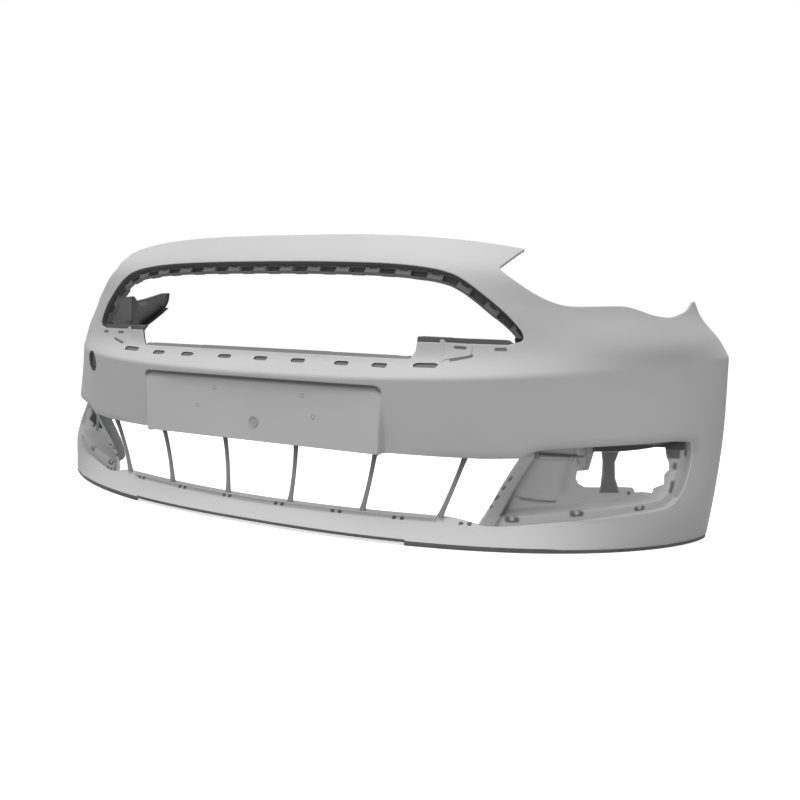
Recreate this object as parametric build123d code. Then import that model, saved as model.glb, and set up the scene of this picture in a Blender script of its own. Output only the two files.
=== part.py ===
from build123d import *
import math
import os
from collections import namedtuple

# Front bumper cover of a compact people carrier, standing on its lower edge.
# Millimetres. +X is the car's left, -Y is forward, +Z is up. The shapes are worked out with
# y = 0 close to the foremost rail and are moved at the end, so that the origin lies on the
# floor under the middle of the cover.

# ---------------------------------------------------------------- driving dimensions
WALL = 3.0                 # moulded wall of the cover
DEPTH_CENTRE = 298.0       # y of the cover's middle, which is moved to the origin
PANEL_GAP = 0.2            # gap between the plate panel and the beam round it
FLANGE_WALL = 2.5          # wall of the return flanges and of the grille rim
CENTRE_HALF = 395.0        # half width of the beam and lip panels between the wings
NOSE_LEVEL = 5.82          # rail level at which the nose strip meets the wings
CREASE_ROUND = 9.0         # how far the rounding of the crease reaches up and down
BEAM_OVERLAP = 0.6         # rail levels by which the beam's surface runs on behind the sill's top
CREASE_ROWS = [-0.12, -0.06, 0.0, 0.12, 0.24]      # rail levels of the rows round the crease
NOSE_GAP = 0.003           # rail levels left free between the nose strip and the wings
NOSE_HALF = 560.0          # half width of the nose strip's surface before its ends are cut

STRIP_HEIGHT = 14.0        # height of the rubber strip under the lip
STRIP_DROP = 6.0           # how far the outer strips reach below the lip's lower edge
STRIP_THICKNESS = 3.0
STRIP_STEP_X = 345.0       # where the deep outer strips begin

# Each rail is a level line of the outer surface, a superellipse in plan that rises outwards:
#   x = half_width * u,  y = nose + sweep * (1 - (1 - u^round)^(1/corner)),  z = height + rise * u^lift
Rail = namedtuple("Rail", "nose half_width sweep round corner height rise lift")
RAILS = [
    Rail(2, 866, 384, 2.46, 1.54, STRIP_DROP, 0, 3.0),           # 0 lower edge of the lip
    Rail(10, 874, 403, 1.86, 2.17, 52, 13, 2.8),                 # 1 upper edge of the lip
    Rail(12, 885, 452, 2.91, 1.60, 177, 11, 3.8),                # 2 lower edge of the beam
    Rail(-18, 886, 562, 3.60, 1.20, 321, 47, 2.2),               # 3 crease
    Rail(22, 862, 566, 3.50, 1.74, 351, 53, 2.2),                # 4 shoulder over the crease
    Rail(12, 814, 600, 3.00, 2.00, 468, -6, 2.0),                # 5 headlamp level
    Rail(54, 800, 552, 4.20, 1.60, 553, -55, 2.64),              # 6 upper edge of the grille opening
    Rail(104, 798, 508, 2.84, 2.32, 612, -113, 3.1),             # 7 bonnet edge
]
LIP_BOTTOM, LIP_TOP, BEAM_BOTTOM, CREASE, SHOULDER, LAMP, GRILLE_TOP, BONNET = range(8)

# Upper grille opening, right half of its outline as (x, z)
GRILLE_SIDE = [(275, 549), (360, 541), (406, 531), (432, 519), (460, 500), (509, 460), (541, 425)]
GRILLE_TIP = (548, 410)
GRILLE_TIP_LOW = (534, 396)
SILL_HEIGHT = 366.0        # upper edge of the slotted sill in the middle of the opening
BLOCK_HEIGHT = 400.0       # upper edge of the raised corner blocks
BLOCK_X = 346.0            # where the corner blocks begin
BLOCK_LEAN = 7.0           # sideways lean of the corner blocks' inner edges

RIM_SETBACK = 20.0         # the grille rim lies this far behind the cover's outer surface
RIM_WIDTH = 20.0
RIM_SLOT = (22.0, 7.0)     # length and width of one clip slot in the rim
RIM_SLOT_COUNT = 9         # slots on each half of the rim

# Clip slots along the sill under the grille
SILL_SLOT_XS = [0, 94, 197, 281]
SILL_SLOT = (28.0, 7.0)
SILL_SLOT_HEIGHT = 347.0
WIDE_SLOT_X = 375.0
WIDE_SLOT = (46.0, 7.0)

# Number-plate panel, an upright flat field that is sunk at its top and proud at its foot
PLATE_HALF_TOP = 299.0
PLATE_HALF_FOOT = 293.0
PLATE_TOP = 308.0
PLATE_FACE_Y = -1.0
PLATE_HOLE_DIAMETER = 22.0
PLATE_HOLE_HEIGHT = 216.0
PLATE_PILOT_DIAMETER = 5.0
PLATE_PILOTS = [(-130, 262), (130, 262), (-165, 232), (165, 232)]

TOW_EYE = (-531.0, 313.0)
TOW_EYE_DIAMETER = 52.0

# Lower opening beyond the centre panels, as (u, rail level) on the outer surface
INTAKE_WING = [
    (0.40, 2.00), (0.55, 2.00), (0.627, 2.02), (0.663, 2.12), (0.76, 2.15), (0.88, 2.15), (0.945, 2.12),
    (0.947, 1.71), (0.938, 1.34), (0.915, 1.16), (0.865, 1.13), (0.789, 1.08), (0.711, 1.02),
    (0.62, 1.00), (0.40, 1.00),
]

# Headlamp cut-out from the tip of the nose round to the peak of the wing, as (u, rail level)
LAMP_EDGE = [
    (0.648, 6.95), (0.635, 6.53), (0.618, 6.11), (0.620, 5.99), (0.643, 5.77), (0.684, 5.44),
    (0.722, 5.20), (0.761, 5.08), (0.820, 5.12), (0.869, 5.17), (0.896, 5.04), (0.921, 4.90),
    (0.947, 4.85), (0.969, 4.95), (0.987, 5.21), (0.999, 5.80),
]
LAMP_PEAK_TRIM = 6.0       # clearance of the cutting prism round the peak and the tip

# Tie bars across the lower opening
TIE_TOP_XS = [92, 273, 451]
TIE_FOOT_XS = [82, 247, 404]
TIE_SECTION = (8.0, 6.0)
TIE_SETBACK = 5.0
TIE_BOW = (4.0, 3.0)       # how far a bar's middle stands outboard and forward

# Clip slots in pairs along the lip's upper edge
LIP_SLOT_XS = [60, 190, 322]
LIP_SLOT_LEVEL = 0.86
WING_SLOT_LEVELS = [(0.516, 0.82), (0.614, 0.89), (0.745, 0.96), (0.862, 1.01)]
LIP_SLOT = (9.0, 6.0)
LIP_SLOT_GAP = 15.0

# Fog-lamp pockets: trays sunk behind the outer ends of the lower opening
POCKET_SIDE = [(0.548, 1.01), (0.584, 1.50), (0.627, 2.02)]      # sloping inner side, (u, rail level)
POCKET_DEPTH = 42.0
POCKET_GAP = 0.3
POCKET_REACH = (0.48, 0.99)        # the pockets' surface runs between these shares of the half width
POCKET_LEVELS = (LIP_TOP - 0.25, BEAM_BOTTOM + 0.35)
# Openings in the pocket's floor, seen from 45 degrees outboard as (across, height)
LAMP_HOLE = [(664, 195), (779, 195), (792, 158), (773, 127), (736, 104), (702, 104), (662, 117),
             (655, 150), (657, 172)]
VENT_HOLE = [(608, 198), (632, 188), (634, 150), (628, 118), (597, 114), (577, 131), (576, 150),
             (601, 152)]
BRACKET_RING = 9.0         # width of the lamp bracket's ring round the lamp hole
BRACKET_WALL = 5.0
BRACKET_POST = [(634, 200), (658, 200), (648, 160), (648, 140), (660, 104), (626, 104), (638, 140),
                (638, 160)]

# Flanges and their screw holes
ARCH_FLANGE = 24.0
ARCH_FLANGE_LEVELS = (0.35, 4.7)   # rail levels between which it runs
ARCH_FLANGE_LEAN = 3.0     # its inner edge lies this far forward of its outer edge
ARCH_GAP = 1.0             # from the wing's inner face to the arch flange
SEAT_GAP = 0.3             # gap between the skin and what is welded to its back
LAMP_FLANGE = 16.0
LAMP_FLANGE_DROPS = (5.0, 8.0)     # its outer and inner edge lie this far under the cut-out
LAMP_FLANGE_RUN = (0.68, 0.99)     # shares of the half width between which it runs
TOP_FLANGE = 26.0
TOP_FLANGE_REACH = 0.60    # it runs over this share of the half width
TOP_FLANGE_FALL = 2.0
LEDGE_FLANGE = 18.0
BEAM_FLANGE = 22.0
BEAM_FLANGE_FRONT = 6.0    # under the plate panel the flange starts this far before the beam
APRON_BACK = 16.0          # y of the rear edge of the flat apron under the plate panel
APRON_LINK = (20.0, 12.0)  # piece that joins the apron to the outer flanges, width and depth
UNDER_FLANGE = 24.0
UNDER_SETBACK = 6.5        # the flange starts this far behind the lip's lower edge
TOP_SCREW_DIAMETER = 8.5
TOP_SCREW_XS = [-360, -180, 0, 180, 360]
TOP_SCREW_SETBACK = 16.0
ARCH_SCREW_DIAMETER = 6.5
ARCH_SCREW_LEVELS = [0.7, 1.5, 2.3]
ARCH_SCREW_INSET = 17.0
UNDER_SCREW_DIAMETER = 8.5
UNDER_SCREW_XS = [-300, -100, 100, 300]
UNDER_SCREW_SETBACK = 14.0

# Clip plates on the corner blocks and headlamp brackets behind the ends of the grille opening
CLIP_PLATE = [(431, 365), (452, 369), (455, 376), (455, 396), (431, 401)]
CLIP_PLATE_SLOT = (443, 388, 12, 7)
CLIP_PLATE_WALL = 2.0
LAMP_BRACKET_X = 566.0
LAMP_BRACKET = [(104, 404), (200, 408), (222, 420), (206, 426), (232, 440), (212, 448), (240, 462),
                (214, 470), (196, 486), (104, 470)]

FIT = 0.2                  # how closely a panel's surface follows its points
FAR = 3000.0               # reach of the cutting prisms


# ---------------------------------------------------------------- outer surface
def rail_place(rail, u):
    """Place on one rail at u, from -1 at the right arch to 1 at the left arch."""
    a = min(abs(u), 1.0)
    depth = 1 - max(1 - a ** rail.round, 0.0) ** (1 / rail.corner)
    return (
        math.copysign(rail.half_width * a, u),
        rail.nose + rail.sweep * depth,
        rail.height + rail.rise * a ** rail.lift,
    )


def mix(*pairs):
    """Weighted sum of places, from (weight, place) pairs."""
    return tuple(sum(weight * place[k] for weight, place in pairs) for k in range(3))


def step_between(a, b):
    """Length and direction of the step from a to b."""
    length = math.dist(a, b)
    return length, mix((1 / length, b), (-1 / length, a))


def sharp_place(u, level):
    """Place on the outer surface: a Hermite curve up through the rails, broken at the crease."""
    last = len(RAILS) - 1
    i = min(int(level), last - 1)
    f = level - i
    near = {j: rail_place(RAILS[j], u) for j in range(max(i - 1, 0), min(i + 2, last) + 1)}
    steps = {j: step_between(near[j], near[j + 1]) for j in near if j + 1 in near}

    def tangent(j, leaving):
        if j in (0, last) or j == CREASE:
            forward = j == 0 or (j == CREASE and leaving)
            return steps[j][1] if forward else steps[j - 1][1]
        (below, way_in), (above, way_out) = steps[j - 1], steps[j]
        if j == GRILLE_TOP:
            below, above = above, below
        return mix((above / (below + above), way_in), (below / (below + above), way_out))

    chord = steps[i][0]
    return mix(
        (2 * f ** 3 - 3 * f ** 2 + 1, near[i]),
        (3 * f ** 2 - 2 * f ** 3, near[i + 1]),
        (chord * (f ** 3 - 2 * f ** 2 + f), tangent(i, True)),
        (chord * (f ** 3 - f ** 2), tangent(i + 1, False)),
    )


def skin_place(u, level):
    """Place on the outer surface with the crease rounded off."""
    edge = sharp_place(u, CREASE)
    start = CREASE - CREASE_ROUND / math.dist(edge, sharp_place(u, CREASE - 1))
    end = CREASE + CREASE_ROUND / math.dist(edge, sharp_place(u, CREASE + 1))
    if not start < level < end:
        return sharp_place(u, level)
    f = (level - start) / (end - start)
    return mix(((1 - f) ** 2, sharp_place(u, start)), (2 * f * (1 - f), edge),
               (f ** 2, sharp_place(u, end)))


def skin(u, level, depth=0.0):
    """Point of the outer surface, or at a depth behind it."""
    place = Vector(*skin_place(u, level))
    if not depth:
        return place
    step = 1e-3
    u = max(-1 + 2 * step, min(1 - 2 * step, u))
    level = max(step, min(len(RAILS) - 1 - step, level))
    along = Vector(*skin_place(u + step, level)) - Vector(*skin_place(u - step, level))
    up = Vector(*skin_place(u, level + step)) - Vector(*skin_place(u, level - step))
    normal = up.cross(along).normalized()
    return place + normal * (depth if normal.Y > 0 else -depth)


def rail_point(rail, u):
    return Vector(*rail_place(rail, u))


def u_at(rail_index, x):
    return x / RAILS[rail_index].half_width


def spread(start, end, count):
    return [start + (end - start) * k / (count - 1) for k in range(count)]


def rows_between(level0, level1, count):
    """Evenly spaced rail levels, closer together round the crease."""
    fine = [CREASE + offset for offset in CREASE_ROWS if level0 < CREASE + offset < level1]
    if not fine:
        return spread(level0, level1, count)
    gap = (level1 - level0) / count / 2
    coarse = [level for level in spread(level0, level1, count)
              if level < fine[0] - gap or level > fine[-1] + gap]
    return sorted(coarse + fine)


def even_us(level, u0, u1, count):
    """Values of u that lie evenly along one level line of the skin."""
    angles = spread(math.asin(u0), math.asin(u1), 4 * count)
    fine = [skin_place(math.sin(angle), level) for angle in angles]
    walk = [0.0]
    for a, b in zip(fine, fine[1:]):
        walk.append(walk[-1] + math.dist(a, b))
    us = []
    k = 0
    for target in spread(0.0, walk[-1], count):
        while k < len(fine) - 2 and walk[k + 1] < target:
            k += 1
        f = (target - walk[k]) / (walk[k + 1] - walk[k])
        us.append(math.sin(angles[k] + (angles[k + 1] - angles[k]) * min(f, 1.0)))
    return us


def panel(u0, u1, level0, level1, columns, rows, depth=0.0, wall=WALL):
    """Solid of one stretch of the skin, from a depth behind it to a wall deeper."""
    lines = [(level, even_us(level, u0, u1, columns)) for level in rows_between(level0, level1, rows)]
    faces = []
    for layer in (depth, depth + wall):
        grid = [[skin(us[k], level, layer) for level, us in lines] for k in range(columns)]
        faces.append(Face.make_surface_from_array_of_points(grid, tol=FIT, min_deg=3, max_deg=5))
    outer, inner = faces
    rest = list(inner.edges())
    sides = []
    for edge in outer.edges():
        partner = min(rest, key=lambda other: (other @ 0.5 - edge @ 0.5).length)
        rest.remove(partner)
        sides.append(Face.make_surface_from_curves(edge, partner))
    return Solid(Shell([outer, inner, *sides]))


def ribbon(edge, far_edge, wall, towards):
    """Flat strip between two rows of points, thickened towards a direction."""
    face = Face.make_surface_from_array_of_points([edge, far_edge], tol=0.05, min_deg=1, max_deg=3)
    return Solid.thicken(face, wall, normal_override=Vector(*towards))


def plan_band(rail_index, u0, u1, near, far, z0, z1):
    """Level band that follows a rail in plan, from one depth behind it to another."""
    step = 1e-3
    rail = RAILS[rail_index]

    def row(depth):
        points = []
        for a in spread(math.asin(u0), math.asin(u1), 25):
            u = math.sin(a)
            way = rail_point(rail, min(u + step, 1.0)) - rail_point(rail, u - step)
            normal = Vector(-way.Y, way.X, 0).normalized()
            point = rail_point(rail, u) + normal * depth
            points.append(Vector(point.X, point.Y, z0))
        return points

    front = row(near)
    back = row(far)
    wire = Wire([Spline(*front).edge(), Edge.make_line(front[-1], back[-1]),
                 Spline(*back).edge(), Edge.make_line(back[0], front[0])])
    return Solid.extrude(Face(wire), Vector(0, 0, z1 - z0))


def front_prism(outline, y0=-FAR, y1=FAR):
    """Prism along Y of a face drawn in the XZ plane."""
    return Solid.extrude(outline, Vector(0, y1 - y0, 0)).moved(Location((0, y0, 0)))


def front_face(points):
    return Face(Wire.make_polygon([Vector(x, 0, z) for x, z in points], close=True))


def mirror_x(shape):
    return mirror(shape, about=Plane.YZ)


def both_sides(xs):
    """The given distances to either side of the middle, with 0 only once."""
    return sorted({side * x for x in xs for side in (1, -1)})


def box_at(x, y, z, dx, dy, dz):
    return Pos(x, y, z) * Box(dx, dy, dz)


def slab(z0, z1):
    """Everything between two heights."""
    return box_at(0, 0, (z0 + z1) / 2, 2 * FAR, 2 * FAR, z1 - z0)


def y_on(x, z, level0, level1):
    """Depth of the outer surface at a place in front view, found between two rail levels."""
    for _ in range(40):
        level = (level0 + level1) / 2
        point = skin(x / RAILS[int(level)].half_width, level)
        if point.Z < z:
            level0 = level
        else:
            level1 = level
    return point.Y


# ---------------------------------------------------------------- openings
def half_grille(grow):
    """Left half of the grille opening in the XZ plane, grown or shrunk all round."""
    side = [(x, 0, z) for x, z in GRILLE_SIDE]
    top = (0, 0, GRILLE_SIDE[0][1] + 5)
    tip = (GRILLE_TIP[0], 0, GRILLE_TIP[1])
    curve = Spline(top, *side, tip, tangents=[(1, 0, 0), (0, 0, -1)])
    points = []
    for share in spread(0, 1, 25):
        way = curve % share
        points.append(curve @ share + Vector(-way.Z, 0, way.X) * grow)
    start, end = points[0], points[-1]
    low = Vector(GRILLE_TIP_LOW[0] + grow, 0, GRILLE_TIP_LOW[1] - grow)
    arch = Spline(*points, tangents=[(1, 0, 0), (0, 0, -1)]).edge()
    turn = Edge.make_tangent_arc(end, Vector(0, 0, -1), low)
    block_x = BLOCK_X - grow
    sill = Polyline(low, (block_x, 0, BLOCK_HEIGHT - grow), (block_x - BLOCK_LEAN, 0, SILL_HEIGHT - grow),
                    (0, 0, SILL_HEIGHT - grow), start)
    return Face(Wire([arch, turn, *sill.edges()]))


def grille_prism(grow=0.0):
    """Prism through the grille opening, along Y."""
    half = front_prism(half_grille(grow))
    return half + mirror_x(half)


def from_outboard(points):
    """Prism through 3-D points of the left wing, as seen from 45 degrees outboard."""
    look = Vector(-math.sqrt(0.5), math.sqrt(0.5), 0)
    flat = [p - look * p.dot(look) - look * FAR for p in points]
    return look, Face(Wire.make_polygon(flat, close=True))


def outboard_prism(points, grow=0.0):
    look, face = from_outboard(points)
    if grow:
        face = Face(face.outer_wire().offset_2d(grow, kind=Kind.INTERSECTION))
    return Solid.extrude(face, look * (2 * FAR))


def outboard_points(outline):
    """3-D points of an outline given from 45 degrees outboard as (across, height)."""
    half = math.sqrt(0.5)
    return [Vector(across * half, across * half, height) for across, height in outline]


def lamp_cutter():
    edge = [skin(u, level) for u, level in LAMP_EDGE]
    trim = LAMP_PEAK_TRIM
    roof = Vector(0, 0, 200)
    tip = edge[0] + Vector(trim, -trim, trim)
    peak = edge[-1] + Vector(trim, trim, trim)
    return outboard_prism([tip + roof, tip] + edge[1:-1] + [peak, peak + roof])


def intake_cutter():
    return outboard_prism([skin(u, level) for u, level in INTAKE_WING])


def tow_eye_bore():
    x, z = TOW_EYE
    return Pos(x, 0, z) * Rot(90, 0, 0) * Cylinder(TOW_EYE_DIAMETER / 2, 400)


# ---------------------------------------------------------------- cover panels
def nose_strip():
    u = NOSE_HALF / RAILS[GRILLE_TOP].half_width
    strip = panel(-u, u, NOSE_LEVEL + NOSE_GAP, BONNET, 51, 13)
    strip -= grille_prism()
    cutter = lamp_cutter()
    strip -= cutter
    return strip - mirror_x(cutter)


def plate_field(grow=0.0):
    """Front view of the plate panel, a little wider at its top."""
    foot = RAILS[BEAM_BOTTOM].height - 20
    return front_face([
        (-PLATE_HALF_TOP - grow, PLATE_TOP + grow), (PLATE_HALF_TOP + grow, PLATE_TOP + grow),
        (PLATE_HALF_FOOT + grow, foot), (-PLATE_HALF_FOOT - grow, foot)])


def plate_wall(side):
    """Side wall that joins the upright plate panel to the leaning beam."""
    foot = RAILS[BEAM_BOTTOM].height
    top = PLATE_TOP - PANEL_GAP
    top_y = y_on(PLATE_HALF_TOP, PLATE_TOP, BEAM_BOTTOM, CREASE - 0.1)
    foot_y = y_on(PLATE_HALF_FOOT, foot + 2, BEAM_BOTTOM, CREASE - 0.1)
    share = (PLATE_FACE_Y - foot_y) / (top_y - foot_y)
    cross = foot + (PLATE_TOP - foot) * share
    back = PLATE_FACE_Y + WALL
    lean = (PLATE_HALF_TOP - PLATE_HALF_FOOT) / (PLATE_TOP - foot)
    outline = [(PLATE_FACE_Y, foot), (PLATE_FACE_Y, cross), (top_y + 1, top), (back, top), (back, cross),
               (foot_y + WALL, foot)]
    inset = PLATE_HALF_FOOT - PANEL_GAP
    leaning = [Vector(side * (inset + lean * (z - foot)), y, z) for y, z in outline]
    face = Face(Wire.make_polygon(leaning, close=True))
    return Solid.extrude(face, Vector(-side * WALL, 0, 0))


def plate_panel():
    """Upright number-plate panel, sunk at its top and proud at its foot."""
    foot = RAILS[BEAM_BOTTOM].height
    back = PLATE_FACE_Y + WALL
    plate = front_prism(plate_field(-PANEL_GAP), PLATE_FACE_Y, back) - slab(foot - 100, foot)
    roof_y = y_on(0, PLATE_TOP, BEAM_BOTTOM, CREASE - 0.1) + 2
    roof = box_at(0, (roof_y + back) / 2, PLATE_TOP - PANEL_GAP - WALL / 2,
                  2 * (PLATE_HALF_TOP - PANEL_GAP - 1), back - roof_y, WALL)
    holes = [(0, PLATE_HOLE_HEIGHT, PLATE_HOLE_DIAMETER)]
    holes += [(x, z, PLATE_PILOT_DIAMETER) for x, z in PLATE_PILOTS]
    cutters = [Pos(x, PLATE_FACE_Y, z) * Rot(90, 0, 0) * Cylinder(diameter / 2, 20)
               for x, z, diameter in holes]
    return plate + roof + plate_wall(1) + plate_wall(-1) - cutters


def centre_cut(shape):
    """A centre panel without its ends, which lie beyond the wings' inner edges."""
    for side in (1, -1):
        shape -= box_at(side * (CENTRE_HALF + FAR / 2), 0, 0, FAR, 2 * FAR, 2 * FAR)
    return shape


def beam_panel():
    u = u_at(CREASE, CENTRE_HALF + 40)
    beam = centre_cut(panel(-u, u, BEAM_BOTTOM, SHOULDER + BEAM_OVERLAP, 41, 31))
    beam -= front_prism(plate_field())
    beam -= grille_prism()
    return beam - [box_at(x, 20, SILL_SLOT_HEIGHT, SILL_SLOT[0], 60, SILL_SLOT[1])
                   for x in both_sides(SILL_SLOT_XS)]


def slot_pair(centre):
    """Two short slots side by side that take one clip."""
    half = LIP_SLOT_GAP / 2
    return [box_at(centre.X + side * half, centre.Y, centre.Z, LIP_SLOT[0], 24, LIP_SLOT[1])
            for side in (1, -1)]


def lower_lip():
    u = u_at(LIP_TOP, CENTRE_HALF + 20)
    lip = panel(-u, u, LIP_BOTTOM, LIP_TOP, 41, 9)
    lip = centre_cut(lip) - slab(-FAR, STRIP_HEIGHT)
    cutters = []
    for x in both_sides(LIP_SLOT_XS):
        cutters += slot_pair(skin(u_at(LIP_TOP, x), LIP_SLOT_LEVEL))
    return lip - cutters


def wing_left():
    wing = panel(u_at(LIP_BOTTOM, CENTRE_HALF - 60), 1.0, LIP_BOTTOM, NOSE_LEVEL, 29, 33)
    wing -= box_at(CENTRE_HALF - FAR / 2, 0, 0, FAR, 2 * FAR, 2 * FAR)
    wing -= slab(-FAR, STRIP_HEIGHT)
    for cutter in (grille_prism(), intake_cutter(), lamp_cutter()):
        wing -= cutter
    wing -= box_at(WIDE_SLOT_X, 35, SILL_SLOT_HEIGHT + 5, WIDE_SLOT[0], 60, WIDE_SLOT[1])
    cutters = []
    for u, level in WING_SLOT_LEVELS:
        cutters += slot_pair(skin(u, level))
    return wing - cutters


# ---------------------------------------------------------------- grille opening
def grille_rim():
    """Sunk rim round the top and sides of the grille opening, with its clip slots."""
    u = (GRILLE_TIP[0] + 30) / RAILS[LAMP].half_width
    outer = grille_prism(FLANGE_WALL)
    hole = grille_prism()
    inner = grille_prism(-RIM_WIDTH)
    inner += inner.moved(Location((0, 0, -RIM_WIDTH)))
    ledge = (panel(-u, u, SHOULDER + 0.2, BONNET - 0.7, 41, 21, RIM_SETBACK, FLANGE_WALL) & outer) - inner
    deep = RIM_SETBACK - WALL - SEAT_GAP
    wall = (panel(-u, u, SHOULDER + 0.2, BONNET - 0.7, 41, 21, WALL + SEAT_GAP, deep) & outer) - hole
    rim = ledge + wall - slab(0, BLOCK_HEIGHT + 1)
    arch = [(x, z) for x, z in GRILLE_SIDE] + [GRILLE_TIP]
    path = Spline((0, 0, GRILLE_SIDE[0][1] + 5), *[(x, 0, z) for x, z in arch],
                  tangents=[(1, 0, 0), (0, 0, -1)])
    slots = []
    for share in spread(0.06, 0.94, RIM_SLOT_COUNT):
        way = path % share
        place = path @ share + Vector(way.Z, 0, -way.X) * (RIM_WIDTH * 0.55)
        turn = -math.degrees(math.atan2(way.Z, way.X))
        slot = Pos(place.X, 90, place.Z) * Rot(0, turn, 0) * Box(RIM_SLOT[0], 200, RIM_SLOT[1])
        slots += [slot, mirror_x(slot)]
    return max((rim - slots).solids(), key=lambda piece: piece.volume)


def clip_plate():
    u0 = (CLIP_PLATE[0][0] - 20) / RAILS[SHOULDER].half_width
    u1 = (CLIP_PLATE[2][0] + 20) / RAILS[SHOULDER].half_width
    plate = panel(u0, u1, CREASE + 0.5, LAMP, 11, 11, -CLIP_PLATE_WALL - SEAT_GAP, CLIP_PLATE_WALL)
    x, z, width, height = CLIP_PLATE_SLOT
    return (plate & front_prism(front_face(CLIP_PLATE))) - box_at(x, 60, z, width, 100, height)


def lamp_bracket(wing):
    outline = [Vector(LAMP_BRACKET_X, y, z) for y, z in LAMP_BRACKET]
    plate = Solid.extrude(Face(Wire.make_polygon(outline, close=True)), Vector(WALL, 0, 0))
    pieces = (plate - wing - lamp_flange()).solids()
    return max(pieces, key=lambda piece: piece.volume)


# ---------------------------------------------------------------- lower opening
def beam_flange():
    """Level flange behind the beam's lower edge and the plate panel's foot."""
    rail = RAILS[BEAM_BOTTOM]
    z0 = rail.height
    z1 = z0 + FLANGE_WALL
    edge = PLATE_HALF_FOOT - 1
    outer = plan_band(BEAM_BOTTOM, u_at(BEAM_BOTTOM, edge + WALL + 2), u_at(BEAM_BOTTOM, CENTRE_HALF),
                      WALL + SEAT_GAP, BEAM_FLANGE, z0, z1)
    inner_u = u_at(BEAM_BOTTOM, edge - 2)
    centre = plan_band(BEAM_BOTTOM, -inner_u, inner_u, -BEAM_FLANGE_FRONT, BEAM_FLANGE, z0, z1)
    front = PLATE_FACE_Y + WALL + SEAT_GAP
    middle_z = (z0 + z1) / 2
    apron = box_at(0, (front + APRON_BACK) / 2, middle_z, 2 * edge - 8, APRON_BACK - front, z1 - z0)
    width, depth = APRON_LINK
    link_y = rail_point(rail, u_at(BEAM_BOTTOM, edge)).Y + BEAM_FLANGE - 8
    flange = centre + apron + outer + mirror_x(outer)
    for side in (1, -1):
        flange += box_at(side * edge, link_y, middle_z, width, depth, z1 - z0)
    return flange


def tie_bar(index):
    """One thin bar from the beam's flange down to the lip's ledge, bowed a little forward."""
    side = 1 if index < 3 else -1
    k = index % 3
    top_x = TIE_TOP_XS[k]
    foot_x = TIE_FOOT_XS[k]
    top_z = RAILS[BEAM_BOTTOM].height
    foot_z = RAILS[LIP_TOP].height
    top_y = rail_point(RAILS[BEAM_BOTTOM], u_at(BEAM_BOTTOM, top_x)).Y + TIE_SETBACK + WALL
    foot_y = rail_point(RAILS[LIP_TOP], u_at(LIP_TOP, foot_x)).Y + TIE_SETBACK + WALL
    start = Vector(side * foot_x, foot_y, foot_z)
    end = Vector(side * top_x, top_y, top_z)
    bow_out, bow_forward = TIE_BOW
    middle = (start + end) * 0.5 + Vector(side * bow_out, -bow_forward, 0)
    path = ThreePointArc(start, middle, end)
    section = Plane(start, x_dir=(1, 0, 0), z_dir=path % 0) * Rectangle(*TIE_SECTION)
    return sweep(section, path=path) & slab(foot_z, top_z)


def intake_ledge():
    """Level ledge behind the lip's upper edge."""
    top = RAILS[LIP_TOP].height
    reach = u_at(LIP_TOP, CENTRE_HALF)
    return plan_band(LIP_TOP, -reach, reach, WALL + SEAT_GAP, LEDGE_FLANGE, top - FLANGE_WALL, top)


# ---------------------------------------------------------------- fog-lamp pockets
def pocket_outline():
    start = INTAKE_WING.index((0.663, 2.12))
    rest = [point for point in INTAKE_WING[start:] if point[0] > 0.6]
    return [skin(u, level) for u, level in POCKET_SIDE + rest]


def pocket_slab(depth, wall):
    return panel(*POCKET_REACH, *POCKET_LEVELS, 31, 15, depth, wall)


def fog_pocket():
    """Tray with a sloping inner side, a floor and the two openings in it."""
    outline = pocket_outline()
    wall = FLANGE_WALL
    block = pocket_slab(0, POCKET_DEPTH + wall) & outboard_prism(outline, -POCKET_GAP)
    hollow = pocket_slab(-2, POCKET_DEPTH + 2) & outboard_prism(outline, -POCKET_GAP - wall)
    tray = block - hollow
    for hole in (LAMP_HOLE, VENT_HOLE):
        tray -= outboard_prism(outboard_points(hole))
    return tray


def fog_bracket():
    """Ring and hourglass post behind the pocket's floor, which carry the fog lamp."""
    depth = POCKET_DEPTH + FLANGE_WALL + SEAT_GAP
    lamp = outboard_points(LAMP_HOLE)
    plate = pocket_slab(depth, BRACKET_WALL)
    ring = (plate & outboard_prism(lamp, BRACKET_RING)) - outboard_prism(lamp, 1.0)
    post = plate & outboard_prism(outboard_points(BRACKET_POST))
    return ring + (post - outboard_prism(lamp, 1.0))


# ---------------------------------------------------------------- lower edge and flanges
def strip_centre():
    reach = u_at(LIP_BOTTOM, STRIP_STEP_X)
    return plan_band(LIP_BOTTOM, -reach, reach, 1, 1 + STRIP_THICKNESS, STRIP_DROP, STRIP_HEIGHT)


def strip_left():
    start = u_at(LIP_BOTTOM, STRIP_STEP_X)
    return plan_band(LIP_BOTTOM, start, 1.0, 1, 1 + STRIP_THICKNESS, 0, STRIP_HEIGHT)


def undertray_flange():
    """Level flange behind the foot of the lip, with its screw holes."""
    reach = u_at(LIP_BOTTOM, CENTRE_HALF)
    flange = plan_band(LIP_BOTTOM, -reach, reach, UNDER_SETBACK, UNDER_FLANGE,
                       STRIP_HEIGHT, STRIP_HEIGHT + FLANGE_WALL)
    for x in UNDER_SCREW_XS:
        y = rail_point(RAILS[LIP_BOTTOM], u_at(LIP_BOTTOM, x)).Y + UNDER_SCREW_SETBACK
        flange -= Pos(x, y, STRIP_HEIGHT) * Cylinder(UNDER_SCREW_DIAMETER / 2, 20)
    return flange


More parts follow.
